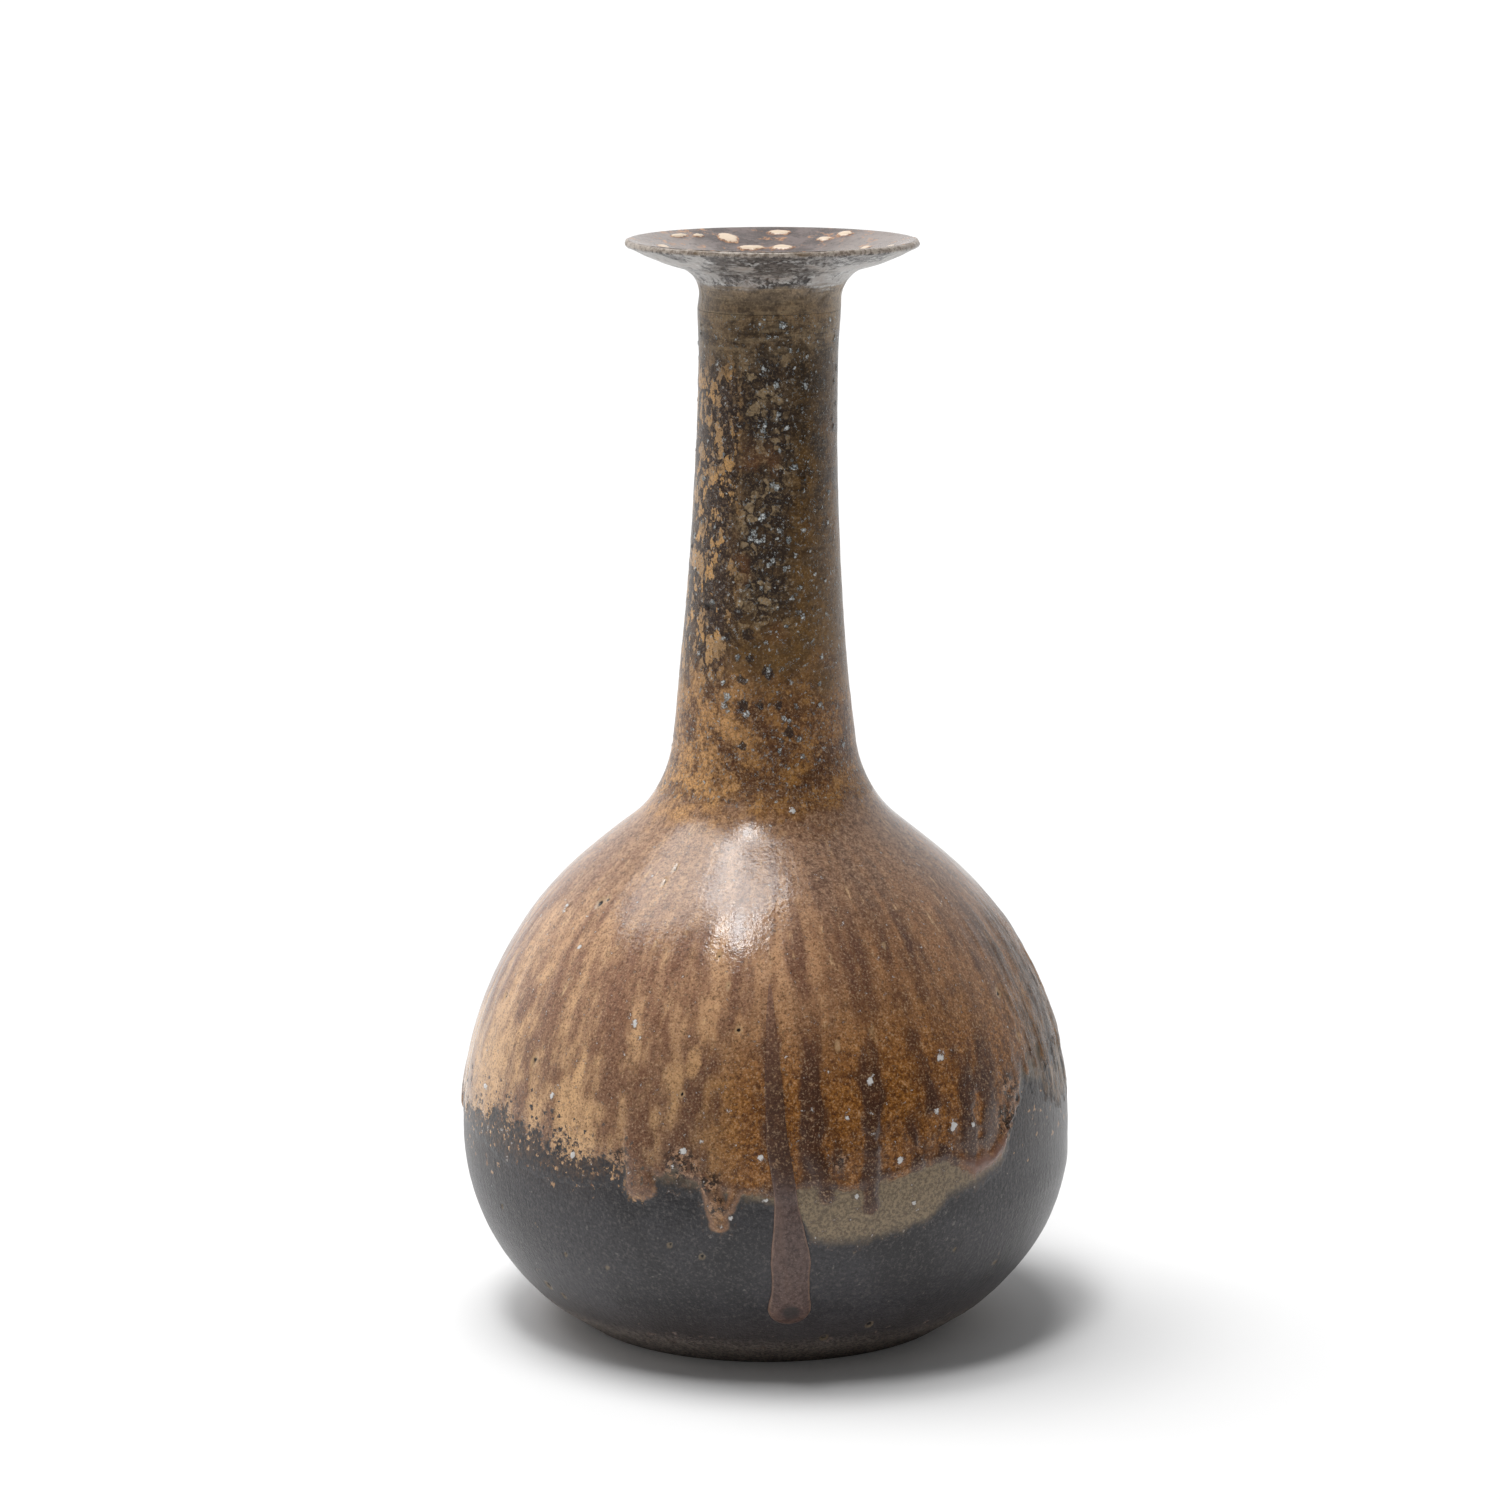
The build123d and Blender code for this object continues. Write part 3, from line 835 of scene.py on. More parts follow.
# The coat's surface over the clay: film, glass, runs and bead, with its ridges, grains and pits.
offset = np.where(film > 0, film_thickness, np.maximum(film_thickness + film * film_feather, -0.7))
offset += glass_thickness * (1 - np.exp(-np.clip(glass, 0, None) / 0.9)) + swell
offset += bead_rise * bead + edge_roll * hump(glass, 1.0, 0.9) * (1 - speckled)
offset += streak_relief * np.clip(thick, -1, 1) * ease(glass, 0, 2) * (1 - ease(height, 74, 98))
offset += 0.03 * lumps(points, 2.2, 15) * ease(glass, 0, 2)
offset -= (0.25 * rough_patch + 0.16 * flank) * np.clip(lumps(points * (1, 1, 0.5), 1.1, 16), -0.4, 1)
offset += flank * ease(film, 0, 2) * (0.20 * drips + 0.16 * ridges)
offset = offset * (1 - settled) + neck_film * settled - 0.08 * ease(height, joint_height - 1, joint_height)
offset += out_of_round(turn, height)
offset += feldspar_rise * ease(white, 0.1, 0.7) - coat_pit_depth * ease(pit, 0.2, 0.8)
at_back = belly_radius - section[:, 0] - 0.05 + 0.6 * ease(height, 52, 60)
offset = np.where(np.abs(around) > 150, np.minimum(offset, at_back), offset)
place(ash_coat, turn, section, out, np.where(surface, offset, 0))
paint(
    ash_coat, film=film, glass=glass, thick=thick, amber=low_right, rough_patch=rough_patch, flank=flank,
    speckled=speckled, pit=pit, white=white, bead=bead, tongue=tongue,
    run_side=between(around, -16, -4, 40, 56),
)

tree, given, gives = new_group("ash_glass", [("Thick", "Float", 0.0), ("Amber", "Float", 0.0)], finish)
ash_glass = tree
pot = use(tree, round_pot, Run_Length=2.4)
plain, runs, up = pot["Plain"], pot["Runs"], pot["Height"]
mottle = cloud(plain, 6.0, 5, 0.62)
blotch = cloud(runs, 2.8, 5, 0.7)
speck = cloud(plain, 1.1, 5, 0.75)
grit = cloud(plain, 0.42, 2, 0.6)
cells = use(tree, ash_cells, Vector=plain, Spacing=1.5)
fleck = use(tree, stray_grains, Vector=plain, Spacing=5.0, Share=0.10, Size=0.08)
pores = use(tree, stray_grains, Vector=plain, Spacing=0.9, Share=0.30, Size=0.22)
# left and right make the glass paler on the left and darker on the right: partly its own colour, partly
# painted light from the left and painted shade on the right.
left = band(pot["Right"], 0.15, -0.60)
right = band(pot["Right"], 0.0, 0.55)
high = band(up, 58.0, 84.0)
depth = rougher(rougher(given["Thick"], blotch, 2.4), speck, 1.0)
depth = times(depth, spread(up, 58.0, 84.0, 1.0, 0.8))
amber_tone = mixed(band(speck, 0.35, 0.65), (104, 62, 24), (170, 112, 52))
low_thin = mixed(given["Amber"], mixed(left, (150, 108, 60), (214, 171, 126)), amber_tone)
high_thin = tinted(mixed(left, (196, 150, 112), (212, 168, 128)), (right, 0.9, (150, 104, 66)))
low_thick = mixed(left, (74, 48, 36), (132, 96, 74))
high_thick = tinted(mixed(left, (134, 96, 76), (144, 104, 82)), (right, 0.9, (84, 54, 38)))
root_depth = rougher(summed(times(speck, 0.6), mottle, 0.4), mottle, 0.8)
root_light = tinted(mixed(cells["Tone"], (124, 78, 32), (182, 130, 68)), (left, 0.85, (222, 168, 108)))
root_tone = tinted(
    mixed(band(root_depth, 0.36, 0.62), (84, 48, 20), root_light),
    (band(cells["Body"], 0.7, 0.0), 0.35, (70, 38, 16)),
)
colour = tinted(
    mixed(band(depth, -0.54, 0.50), mixed(high, low_thin, high_thin), mixed(high, low_thick, high_thick)),
    (band(up, 84.0, 100.0), 0.5, mixed(band(speck, 0.38, 0.62), (130, 94, 70), (188, 150, 120))),
    (times(band(blotch, 0.40, 0.30), band(up, 62.0, 80.0)), 0.75, (220, 184, 140)),
    (band(rougher(up, mottle, 26.0), 103.0, 112.0), 0.92, root_tone),
    (band(cloud(plain, 2.6, 5, 0.7), 0.51, 0.40), 0.34, (112, 74, 50)),
    (times(band(cells["Body"], 0.6, 0.0), given["Amber"]), 0.30, (66, 38, 18)),
    (band(speck, 0.49, 0.36), 0.45, (62, 40, 28)),
    (band(speck, 0.53, 0.68), 0.26, (230, 188, 142)),
    (band(grit, 0.54, 0.70), 0.34, (222, 190, 154)),
    (band(grit, 0.46, 0.31), 0.58, (50, 33, 25)),
    (fleck["Mask"], 0.8, (220, 214, 206)),
    (pores["Mask"], 0.5, (52, 36, 28)),
)
peel = summed(cloud(plain, 0.7, 2, 0.5), cloud(plain, 3.4, 2, 0.5), 1.2)
gloss = spread(mottle, 0.3, 0.7, 0.14, 0.21)
give(gives, Color=colour, Roughness=gloss, Height=times(summed(peel, depth, 0.20), 0.42))

run_ash, tree = bare_material("run_ash_glaze")
clay = use(tree, fired_clay)
pot = use(tree, round_pot)
plain = pot["Plain"]
thick, amber, glass, film, speckled, flank, tongue, rough, pit, white = (
    painted(tree, name) for name in (
        "thick", "amber", "glass", "film", "speckled", "flank", "tongue", "rough_patch", "pit", "white",
    )
)
ash = use(tree, ash_glass, Thick=thick, Amber=amber)
crumb = cloud(plain, 1.3, 4, 0.75)
crumble = times(maths("SUBTRACT", crumb, 0.5), 6.0)
strays = use(
    tree, stray_grains, Vector=plain, Spacing=1.0, Size=0.42,
    Share=times(band(glass, -8.5, 2.0), times(speckled, 0.85)),
)
gaps = use(
    tree, stray_grains, Vector=plain, Spacing=1.1, Size=0.44,
    Share=times(band(glass, 9.0, 0.0), times(speckled, 0.8)),
)
flank_streak = cloud(pot["Runs"], 1.8, 5, 0.7)
flank_depth = rougher(flank_streak, crumb, 0.6)
flank_mask = times(flank, band(flank_depth, 0.54, 0.46))
glass_mask = band(summed(glass, crumble, summed(0.25, speckled, 1.8)), -0.5, 0.5)
glass_mask = times(maths("MAXIMUM", glass_mask, strays["Mask"]), maths("SUBTRACT", 1.0, gaps["Mask"]))
glass_mask = times(glass_mask, maths("SUBTRACT", 1.0, times(flank_mask, 0.8)))
film_mask = band(summed(film, crumble, 0.25), -0.6, 2.4)
film_mask = times(film_mask, spread(painted(tree, "run_side"), 0.0, 1.0, 0.45, 0.95))
powdery = mixed(band(cloud(plain, 0.6, 3, 0.7), 0.36, 0.64), (108, 92, 72), (158, 138, 108))
film_tone = mixed(speckled, powdery, mixed(band(crumb, 0.42, 0.58), (40, 33, 31), (100, 74, 52)))
flakes = use(tree, stray_grains, Vector=plain, Spacing=3.0, Share=0.30, Size=0.36)
flank_tone = tinted(
    mixed(band(flank_depth, 0.40, 0.60), (40, 34, 31), (140, 112, 84)), (flakes["Mask"], 0.8, (160, 122, 90))
)
fringe = times(band(tongue, 1.1, 0.2), band(tongue, -0.5, 0.1))
fringe = times(times(fringe, band(pot["Right"], 0.05, -0.08)), band(pot["Height"], 44.0, 41.0))
crumbly = times(band(rough, 0.05, 0.55), band(crumb, 0.40, 0.56))
grain = rougher(white, crumb, 2.4)
colour = tinted(
    clay["Color"],
    (film_mask, 1, film_tone),
    (times(flank, band(summed(film, crumble, 1.0), -3.0, 3.0)), 0.9, flank_tone),
    (glass_mask, 1, ash["Color"]),
    (fringe, 0.35, (160, 118, 90)),
    (painted(tree, "bead"), 0.9, (138, 106, 94)),
    (crumbly, 1, mixed(band(cloud(plain, 1.2, 4, 0.7), 0.42, 0.50), (184, 144, 112), (46, 36, 30))),
    (band(pit, 0.02, 0.3), 0.5, (196, 164, 124)),
    # The near-black inside of each pit is painted shade in the pit.
    (band(pit, 0.42, 0.66), 1, (26, 20, 18)),
    (band(grain, 0.10, 0.30), 0.5, (90, 66, 48)),
    (band(grain, 0.34, 0.55), 0.95, (216, 214, 212)),
)
gloss, relief = (
    put(tree, "Mix", i0=glass_mask, i2=clay[name], i3=ash[name]).outputs[0]
    for name in ("Roughness", "Height")
)
skin(tree, colour, gloss, summed(relief, times(flank, flank_streak), 8.0), 0.12)
ash_coat.data.materials.append(run_ash)
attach(ash_coat, "root")
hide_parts("body_glaze", "short_runs")

# ---- Long run ----
# The thickest tear of ash glass. It left the coat at the front, ran down over bare clay and stopped in a
# round bead above the foot, paler along its outline where the glass is thin.
run_path = [(84, 0.6), (64, 1.2), (52, 1.9), (44, 3.0), (37, 3.7), (28.4, 4.4), (19, 4.6), (12.6, 4.7)]
run_half_widths = [(84, 0.9), (60, 1.7), (51, 2.1), (44, 2.15), (39, 2.3), (34, 3.0), (30, 3.7), (27, 3.95),
                   (24, 3.7), (20, 3.75), (16, 4.15), (12.6, 4.1)]
run_thickness = [(84, 0.0), (60, 0.2), (44, 0.55), (36, 0.75), (28, 1.0), (18, 1.15), (12.6, 1.1)]
run_head = 80.0
run_tip = 12.7
head_length = 20.0
tip_length = 4.0
run_root = 0.45


def by_height(height, values):
    """Value at a height, between those given from the top down."""
    heights, amounts = zip(*values[::-1])
    return np.interp(height, heights, amounts)


tear = bmesh.new()
bmesh.ops.create_uvsphere(tear, u_segments=96, v_segments=260, radius=1)
mesh = bpy.data.meshes.new("long_tear")
tear.to_mesh(mesh)
tear.free()
ball = vertex_places(mesh)
height = (run_head + run_tip) / 2 + ball[:, 2] * (run_head - run_tip) / 2
side = np.arctan2(ball[:, 1], ball[:, 0])
from_tip = np.clip((height - run_tip) / tip_length, 0, 1)
from_head = np.clip((run_head - height) / head_length, 0, 1)
closing = np.sqrt(np.clip(1 - (1 - from_tip) ** 2, 0, 1)) * np.sqrt(np.clip(1 - (1 - from_head) ** 2, 0, 1))
bed = np.column_stack((outer_radius(height), height))
middle = np.radians(by_height(height, run_path))
edge_points = on_wall(middle + np.sign(np.cos(side)) * 0.05, bed)
half = by_height(height, run_half_widths) * closing * (1 + 0.07 * lumps(edge_points, 3.5, 21))
turn = middle + np.cos(side) * half / bed[:, 0]
top = by_height(height, run_thickness) * closing
coat_here = (film_thickness + glass_thickness) * ease(height, 39, 42)
rise = np.where(np.sin(side) > 0, np.abs(np.sin(side)) ** 0.8 * top, np.sin(side) * run_root)
rise += 0.05 * lumps(on_wall(turn, bed), 1.8, 22) * np.clip(np.sin(side), 0, 1) * ease(top, 0.1, 0.5)
small = 0.01
slope = (outer_radius(height + small) - outer_radius(height - small)) / (2 * small)
out = np.column_stack((np.ones(len(height)), -slope)) / np.hypot(1, slope)[:, None]
long_tear = bpy.data.objects.new("long_tear", mesh)
bpy.context.scene.collection.objects.link(long_tear)
place(long_tear, turn, bed, out, rise + coat_here)
paint(long_tear, outline=np.abs(np.cos(side)), dark_end=near(turn, bed, 4.9, 16.4, 3.4))

tear_glass, tree = bare_material("long_run_glass")
pot = use(tree, round_pot, Run_Length=4.0)
plain, up = pot["Plain"], pot["Height"]
ash = use(tree, ash_glass, Thick=0.75, Amber=1.0)
speck = cloud(plain, 0.9, 4, 0.75)
grit = cloud(plain, 0.42, 2, 0.6)
flow = cloud(pot["Runs"], 2.4, 3)
outline = band(rougher(painted(tree, "outline"), speck, 0.22), 0.84, 0.99)
colour = tinted(
    mixed(band(speck, 0.36, 0.64), (66, 46, 41), (104, 82, 75)),
    (band(flow, 0.5, 0.7), 0.4, (122, 94, 80)),
    (band(grit, 0.54, 0.72), 0.3, (170, 140, 124)),
    (band(painted(tree, "dark_end"), 0.35, 0.65), 0.75, (40, 38, 38)),
    (band(up, 41.0, 47.0), 1, ash["Color"]),
    (times(outline, band(up, 46.0, 40.0)), 0.55, (160, 126, 106)),
)
skin(tree, colour, 0.32, summed(cloud(plain, 0.8, 2), flow, 0.8), 0.10)
long_tear.data.materials.append(tear_glass)
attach(long_tear, "root")
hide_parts("long_run")

# ---- Clay neck ----
# The thrown tapering tube luted on the shoulder, under a film of ash that broke into ochre flakes on the side
# the fire passed and is a smoother olive brown on the other, with crystals of feldspar that burst through it.
mouth_joint = 206.0
neck_lap = 2.0
bore_foot = 124.0
collar_swell = 0.35
flake_thickness = 0.05
crystal_rise = 0.20
crack_depth = 0.5
crystals = [  # (degrees, height, half width)
    (11, 204, 1.0), (58, 204.5, 0.7), (68, 200.5, 0.8), (24, 199, 0.4), (33, 197.7, 0.4), (18, 199, 0.4),
    (-4, 195.4, 0.6), (-32, 195.5, 0.5), (6.5, 192.4, 0.8), (32, 192, 0.6), (76, 194.5, 0.7),
    (70, 192, 0.7), (75, 187.5, 0.6), (69, 183, 0.7), (29, 187.5, 0.5), (9, 186.5, 0.6), (-2, 184.4, 0.7),
    (-4, 183.2, 0.7), (15.5, 183.8, 0.7), (23, 175.8, 0.8), (5, 172.6, 0.8), (8, 172, 0.8),
    (59, 170.2, 0.6), (57, 164.3, 0.5), (-1.6, 166.4, 0.8), (-4, 165.8, 0.6), (-9, 163, 0.9),
    (-11.6, 161.8, 0.8), (-6.5, 161.6, 0.8), (-2, 161.8, 0.7), (10, 163.6, 0.7), (9, 162, 0.5),
    (18, 161.6, 0.8), (31, 163.3, 0.5), (5.4, 157.6, 0.7), (2.6, 156.8, 0.6), (15, 156, 0.6),
    (18, 156.2, 0.5), (23, 158.4, 0.5), (51, 152.8, 0.5), (-13, 152.5, 0.6), (-2, 152, 0.7), (27, 152, 0.6),
    (20.5, 150, 0.6), (26.6, 147.2, 0.6), (28.4, 146.4, 0.6), (15, 144.4, 0.5), (1.4, 141.3, 0.6),
    (-18.4, 138.2, 0.8), (44, 137.8, 0.5), (40.4, 132.5, 0.6), (12.5, 136.3, 0.5), (-25, 130.4, 1.0),
    (-27, 128.6, 0.9), (-24.6, 127.6, 0.6), (-29, 133, 0.6), (21.4, 128.6, 0.6), (40, 128.5, 0.7),
    (-11.7, 127.2, 0.9), (13, 126.2, 0.8), (16, 125.8, 0.7), (11, 122, 0.6), (22, 122, 0.6),
    (9.3, 120, 0.5), (24.6, 118.7, 0.6), (59, 119.7, 0.7),
]
dark_spots = [  # (degrees, height, size)
    (11.3, 204.3, 3.4), (1.6, 186.5, 1.5), (-22.3, 184.4, 1.5), (2.7, 135.3, 2.0), (-13.9, 129, 1.8),
    (9.9, 129, 1.6), (-2.6, 129, 1.4), (-15, 134, 1.6), (-9, 138, 1.6), (-11.4, 142.8, 2.0),
    (-26, 142.2, 1.6), (16, 123.6, 1.6), (-13.8, 120.7, 1.4), (-20, 147, 1.8), (100, 150, 2.2),
    (150, 170, 2.4), (-140, 140, 2.0), (-120, 178, 2.4),
]
neck_bore = np.column_stack((np.full(12, bore_radius), np.linspace(mouth_joint, bore_foot, 12)))
neck_foot = inset(up_wall(joint_height, bore_foot, 2), neck_wall)
neck_foot[0] = (outer_radius(np.array(joint_height)) - neck_wall, joint_height - neck_lap)
clay_neck, turn, section, out = turned(
    "clay_neck",
    [up_wall(joint_height - neck_lap, mouth_joint - 0.06, 0.42), [(waist_radius, mouth_joint)], neck_bore,
     neck_foot[::-1]],
    steps=352, closed=True,
)
points = on_wall(turn, section)
height = section[:, 1]
around = np.degrees(turn)
surface = out[:, 0] > 0.1
out = np.where((height > mouth_joint - 0.1)[:, None] & surface[:, None], (1.0, 0.0), out)
from_ends = ease(height, joint_height + 0.5, joint_height + 5) * ease(mouth_joint - height, 0, 4)
throwing = lumps(points * (0.1, 0.1, 1), 2.2, 31) + 0.6 * lumps(points * (0.1, 0.1, 1), 5.0, 36)
fire_side = ease(around, -14, -34) * (1 - ease(around, -150, -170)) + ease(around, 178, 190)
fire_side = np.clip(fire_side, 0, 1) * between(height, 124, 136, 190, 202)
grey_side = between(around, -40, -14, 10, 30) * between(height, 138, 150, 196, 206)
bare_column = hump(around + 6 * lumps(points * (0, 0, 1), 20, 37), -33, 7) * ease(height, 132, 140)
flake = 0.35 * streaks(turn, height, 4.0, 6, 62) + 0.65 * lumps(points, 2.1, 32)
flake += 0.5 * lumps(points, 1.0, 33) - 0.75 * bare_column * fire_side
flake += 0.35 * hump(height, 172, 9) * (1 - ease(around, -60, -40)) - 0.12
flake += 0.30 * (1 - ease(height, 136, 150))
dark_spot = spots(turn, section, dark_spots) * (1 + 0.5 * lumps(points, 1.3, 39))
dark_spot += 0.12 * lumps(points, 0.8, 40)
chance = np.random.default_rng(8)
grains = [(chance.normal(30, 24), chance.uniform(132, 205), chance.uniform(0.2, 0.5)) for _ in range(34)]
grains += [(chance.uniform(100, 330), chance.uniform(114, 205), chance.uniform(0.3, 0.8)) for _ in range(60)]
crystal = spots(turn, section, crystals + grains) * (1 + 0.45 * lumps(points, 0.7, 38))
dark_round = spots(turn, section, [(a, h, 1.9 * size) for a, h, size in crystals])
crack = near(turn, section, -46.6, 147.8, 2.4) * (np.abs(height - 147.8 + 0.3 * lumps(points, 1.5, 35)) < 0.5)
relief = 0.04 * throwing - 0.05 * np.clip(lumps(points, 1.0, 34), 0, 1)
relief += flake_thickness * ease(flake, -0.1, 0.3) * np.maximum(fire_side, 0.6 * grey_side)
relief += crystal_rise * ease(crystal, 0.05, 0.7)
lapped = 1 - ease(height, joint_height - neck_lap, joint_height - 1)
offset = neck_film + from_ends * relief + collar_swell * ease(height, 197, mouth_joint)
offset -= 0.06 * lapped + crack_depth * crack
place(clay_neck, turn, section, out, np.where(surface, offset, 0))
lower = 1 - ease(height + 5 * lumps(points, 6, 46) + 2 * lumps(points, 2, 47), 126, 142)
paint(
    clay_neck, lower=lower, flake=flake, fire_side=fire_side, grey_side=grey_side, dark_spot=dark_spot,
    crack=crack, crystal=crystal, dark_round=dark_round,
)

tree, given, gives = new_group("collar_film", [], [("Color", "Color")])
collar_film = tree
pot = use(tree, round_pot)
plain = pot["Plain"]
grit = cloud(plain, 0.4, 2, 0.6)
give(gives, Color=tinted(
    mixed(band(cloud(plain, 4.0, 5, 0.65), 0.40, 0.62), (72, 55, 36), (134, 110, 80)),
    (band(cloud(pot["Rings"], 0.9, 3, 0.6), 0.48, 0.62), 0.5, (150, 130, 100)),
    (band(pot["Height"], 206.0, 209.0), 0.35, (148, 128, 102)),
    (band(cloud(plain, 0.9, 5, 0.78), 0.50, 0.38), 0.5, (42, 31, 23)),
    (band(grit, 0.54, 0.70), 0.24, (204, 174, 132)),
    (band(grit, 0.46, 0.32), 0.35, (34, 25, 20)),
))

neck_ash, tree = bare_material("neck_ash_film")
pot = use(tree, round_pot)
plain, up = pot["Plain"], pot["Height"]
speck = cloud(plain, 0.9, 5, 0.78)
grit = cloud(plain, 0.4, 2, 0.6)
mottle = cloud(plain, 4.0, 5, 0.65)
broad = cloud(plain, 10.0, 3, 0.5)
ring = cloud(pot["Rings"], 0.9, 3, 0.6)
cells = use(tree, ash_cells, Vector=plain, Spacing=2.2)
brown = tinted(
    mixed(band(mottle, 0.40, 0.62), (50, 30, 4), (108, 76, 28)),
    (band(broad, 0.54, 0.70), 0.5, (124, 84, 42)),
    (band(ring, 0.5, 0.66), 0.35, (126, 102, 72)),
    (band(up, 168.0, 196.0), 0.6, (54, 42, 26)),
    (band(up, 172.0, 150.0), 0.35, (138, 104, 62)),
)
scale_tone = mixed(
    band(summed(times(cells["Tone"], 0.35), speck, 1.0), 0.56, 0.96), (76, 58, 40), (168, 144, 110)
)
shaded = rougher(rougher(cells["Body"], mottle, 3.0), speck, 1.4)
grey = tinted(
    mixed(band(shaded, 0.10, 0.75), (52, 40, 32), scale_tone),
    (band(mottle, 0.50, 0.40), 0.7, (50, 38, 31)),
    (times(band(broad, 0.52, 0.66), band(up, 184.0, 174.0)), 0.5, (140, 88, 44)),
)
drawn = vector_maths("MULTIPLY", plain, (1, 1, 0.6))
laid = spread(painted(tree, "flake"), -0.8, 0.5, 0.20, 1.0)
flakes = use(tree, stray_grains, Vector=drawn, Spacing=1.9, Share=laid, Size=0.72)
small_flakes = use(tree, stray_grains, Vector=drawn, Spacing=0.8, Share=0.30, Size=0.5)
gap_tone = mixed(band(speck, 0.42, 0.58), (48, 36, 31), (84, 64, 50))
gap_tone = tinted(gap_tone, (small_flakes["Mask"], 0.6, (150, 122, 90)))
flake_tone = mixed(flakes["Tone"], (172, 140, 104), (216, 166, 104))
flake_tone = tinted(flake_tone, (band(speck, 0.54, 0.40), 0.5, (120, 88, 56)))
flaked = mixed(band(rougher(flakes["Mask"], speck, 3.2), 0.30, 0.80), gap_tone, flake_tone)
lower = painted(tree, "lower")
dark = rougher(rougher(painted(tree, "dark_spot"), mottle, 1.6), speck, 1.2)
splinters = use(tree, ash_cells, Vector=plain, Spacing=0.6)
crystal = band(rougher(painted(tree, "crystal"), speck, 2.6), 0.16, 0.34)
crystal = times(crystal, band(splinters["Body"], 0.0, 0.4))
colour = tinted(
    brown,
    (painted(tree, "grey_side"), 1, grey),
    (painted(tree, "fire_side"), 1, flaked),
    (lower, 1, use(tree, ash_glass, Thick=0.0, Amber=0.0)["Color"]),
    (band(dark, 0.34, 0.50), 0.85, (44, 34, 32)),
    (times(maths("SUBTRACT", 1.0, lower), band(speck, 0.50, 0.38)), 0.38, (34, 24, 18)),
    (band(grit, 0.54, 0.70), 0.24, (204, 174, 132)),
    (band(grit, 0.46, 0.32), 0.35, (34, 25, 20)),
    (band(rougher(up, mottle, 12.0), 194.0, 203.0), 1, use(tree, collar_film)["Color"]),
    (band(rougher(painted(tree, "dark_round"), speck, 2.4), 0.25, 0.65), 0.45, (44, 36, 30)),
    (crystal, 0.95, mixed(splinters["Tone"], (108, 118, 122), (230, 234, 234))),
    (painted(tree, "crack"), 1, (30, 20, 14)),
)
relief = summed(summed(cloud(plain, 0.9, 4, 0.65), ring, 0.7), crystal, 0.8)
skin(tree, colour, 0.28, relief, 0.14, shine=0.28)
clay_neck.data.materials.append(neck_ash)
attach(clay_neck, "root")
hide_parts("neck")

# ---- Clay mouth ----
# The wide flared mouth, thrown thin and cut to a rounded lip. Its underside stayed nearly bare and came out
# of the fire grey-black, pitted and dusted with pale ash. Towards its left and right sides it is drawn paler
# as a painted sheen, and its pits darker as painted shade.
mouth_radius = 29.2
mouth_height = 219.7
lip_thickness = 1.4
underside_slope = 19.0
dish_slope = 18.0
flare_radius = 7.0
throat_radius = 5.0
underside_bulge = 0.4
bulge_radius = 21.5
underside_pitting = 0.14
lip_middle = (mouth_radius - lip_thickness / 2, mouth_height - lip_thickness / 2)


def tan_of(slope):
    """Rise over run of a slope in degrees."""
    return float(np.tan(radians(slope)))


under_end = arc(lip_middle, lip_thickness / 2, underside_slope - 90, underside_slope - 90, 1)[0]
corner_height = under_end[1] - (under_end[0] - waist_radius) * tan_of(underside_slope)
flare_turn = 90 - underside_slope
flare_cut = flare_radius * tan_of(flare_turn / 2)
flare_middle = (waist_radius + flare_radius, corner_height - flare_cut)
flare = arc(flare_middle, flare_radius, 180, 180 - flare_turn, 22)
lip = arc(lip_middle, lip_thickness / 2, underside_slope - 90, 90 + dish_slope, 14)
edge_height = lip[-1, 1] - (lip[-1, 0] - bore_radius) * tan_of(dish_slope)
throat_turn = 90 - dish_slope
throat_cut = throat_radius * tan_of(throat_turn / 2)
throat_middle = (bore_radius + throat_radius, edge_height - throat_cut)
throat = arc(throat_middle, throat_radius, 90 + dish_slope, 180, 12)
clay_mouth, turn, section, out = turned(
    "clay_mouth",
    [[(waist_radius, mouth_joint), (waist_radius, mouth_joint + 0.06)],
     np.linspace((waist_radius, mouth_joint + 0.06), flare[0], 5), flare,
     np.linspace(flare[-1], lip[0], 28), lip, np.linspace(lip[-1], throat[0], 24), throat,
     np.column_stack((np.full(12, bore_radius), np.linspace(throat[-1, 1], mouth_joint, 12)))],
    steps=448, closed=True,
)
points = on_wall(turn, section)
radius, height = section.T
under = out[:, 1] < 0.15
at_joint = (height < mouth_joint + 0.1) & (radius > waist_radius - 0.1)
out = np.where(at_joint[:, None], (1.0, 0.0), out)
away = ease(height, mouth_joint, mouth_joint + 3)
pitted = ease(lumps(points, 1.6, 41) + 0.6 * lumps(points, 0.8, 42), 0.30, 0.9)
offset = neck_film * (1 - away) + collar_swell * under * (1 - ease(radius, 25, 28.5))
offset += underside_bulge * under * hump(radius, bulge_radius, 4)
offset -= (underside_pitting * pitted * under + 0.05 + 0.05 * lumps(points, 4, 43)) * away
lip_wave = 0.12 * lumps(points * (1, 1, 0.1), 9, 44) + 0.05 * lumps(points, 1.8, 45)
offset += ease(radius, 24, 28) * (lip_wave + 0.05 * under)
place(clay_mouth, turn, section, out, np.where(radius < bore_radius + 0.5, 0, offset))
paint(clay_mouth, pitted=pitted)

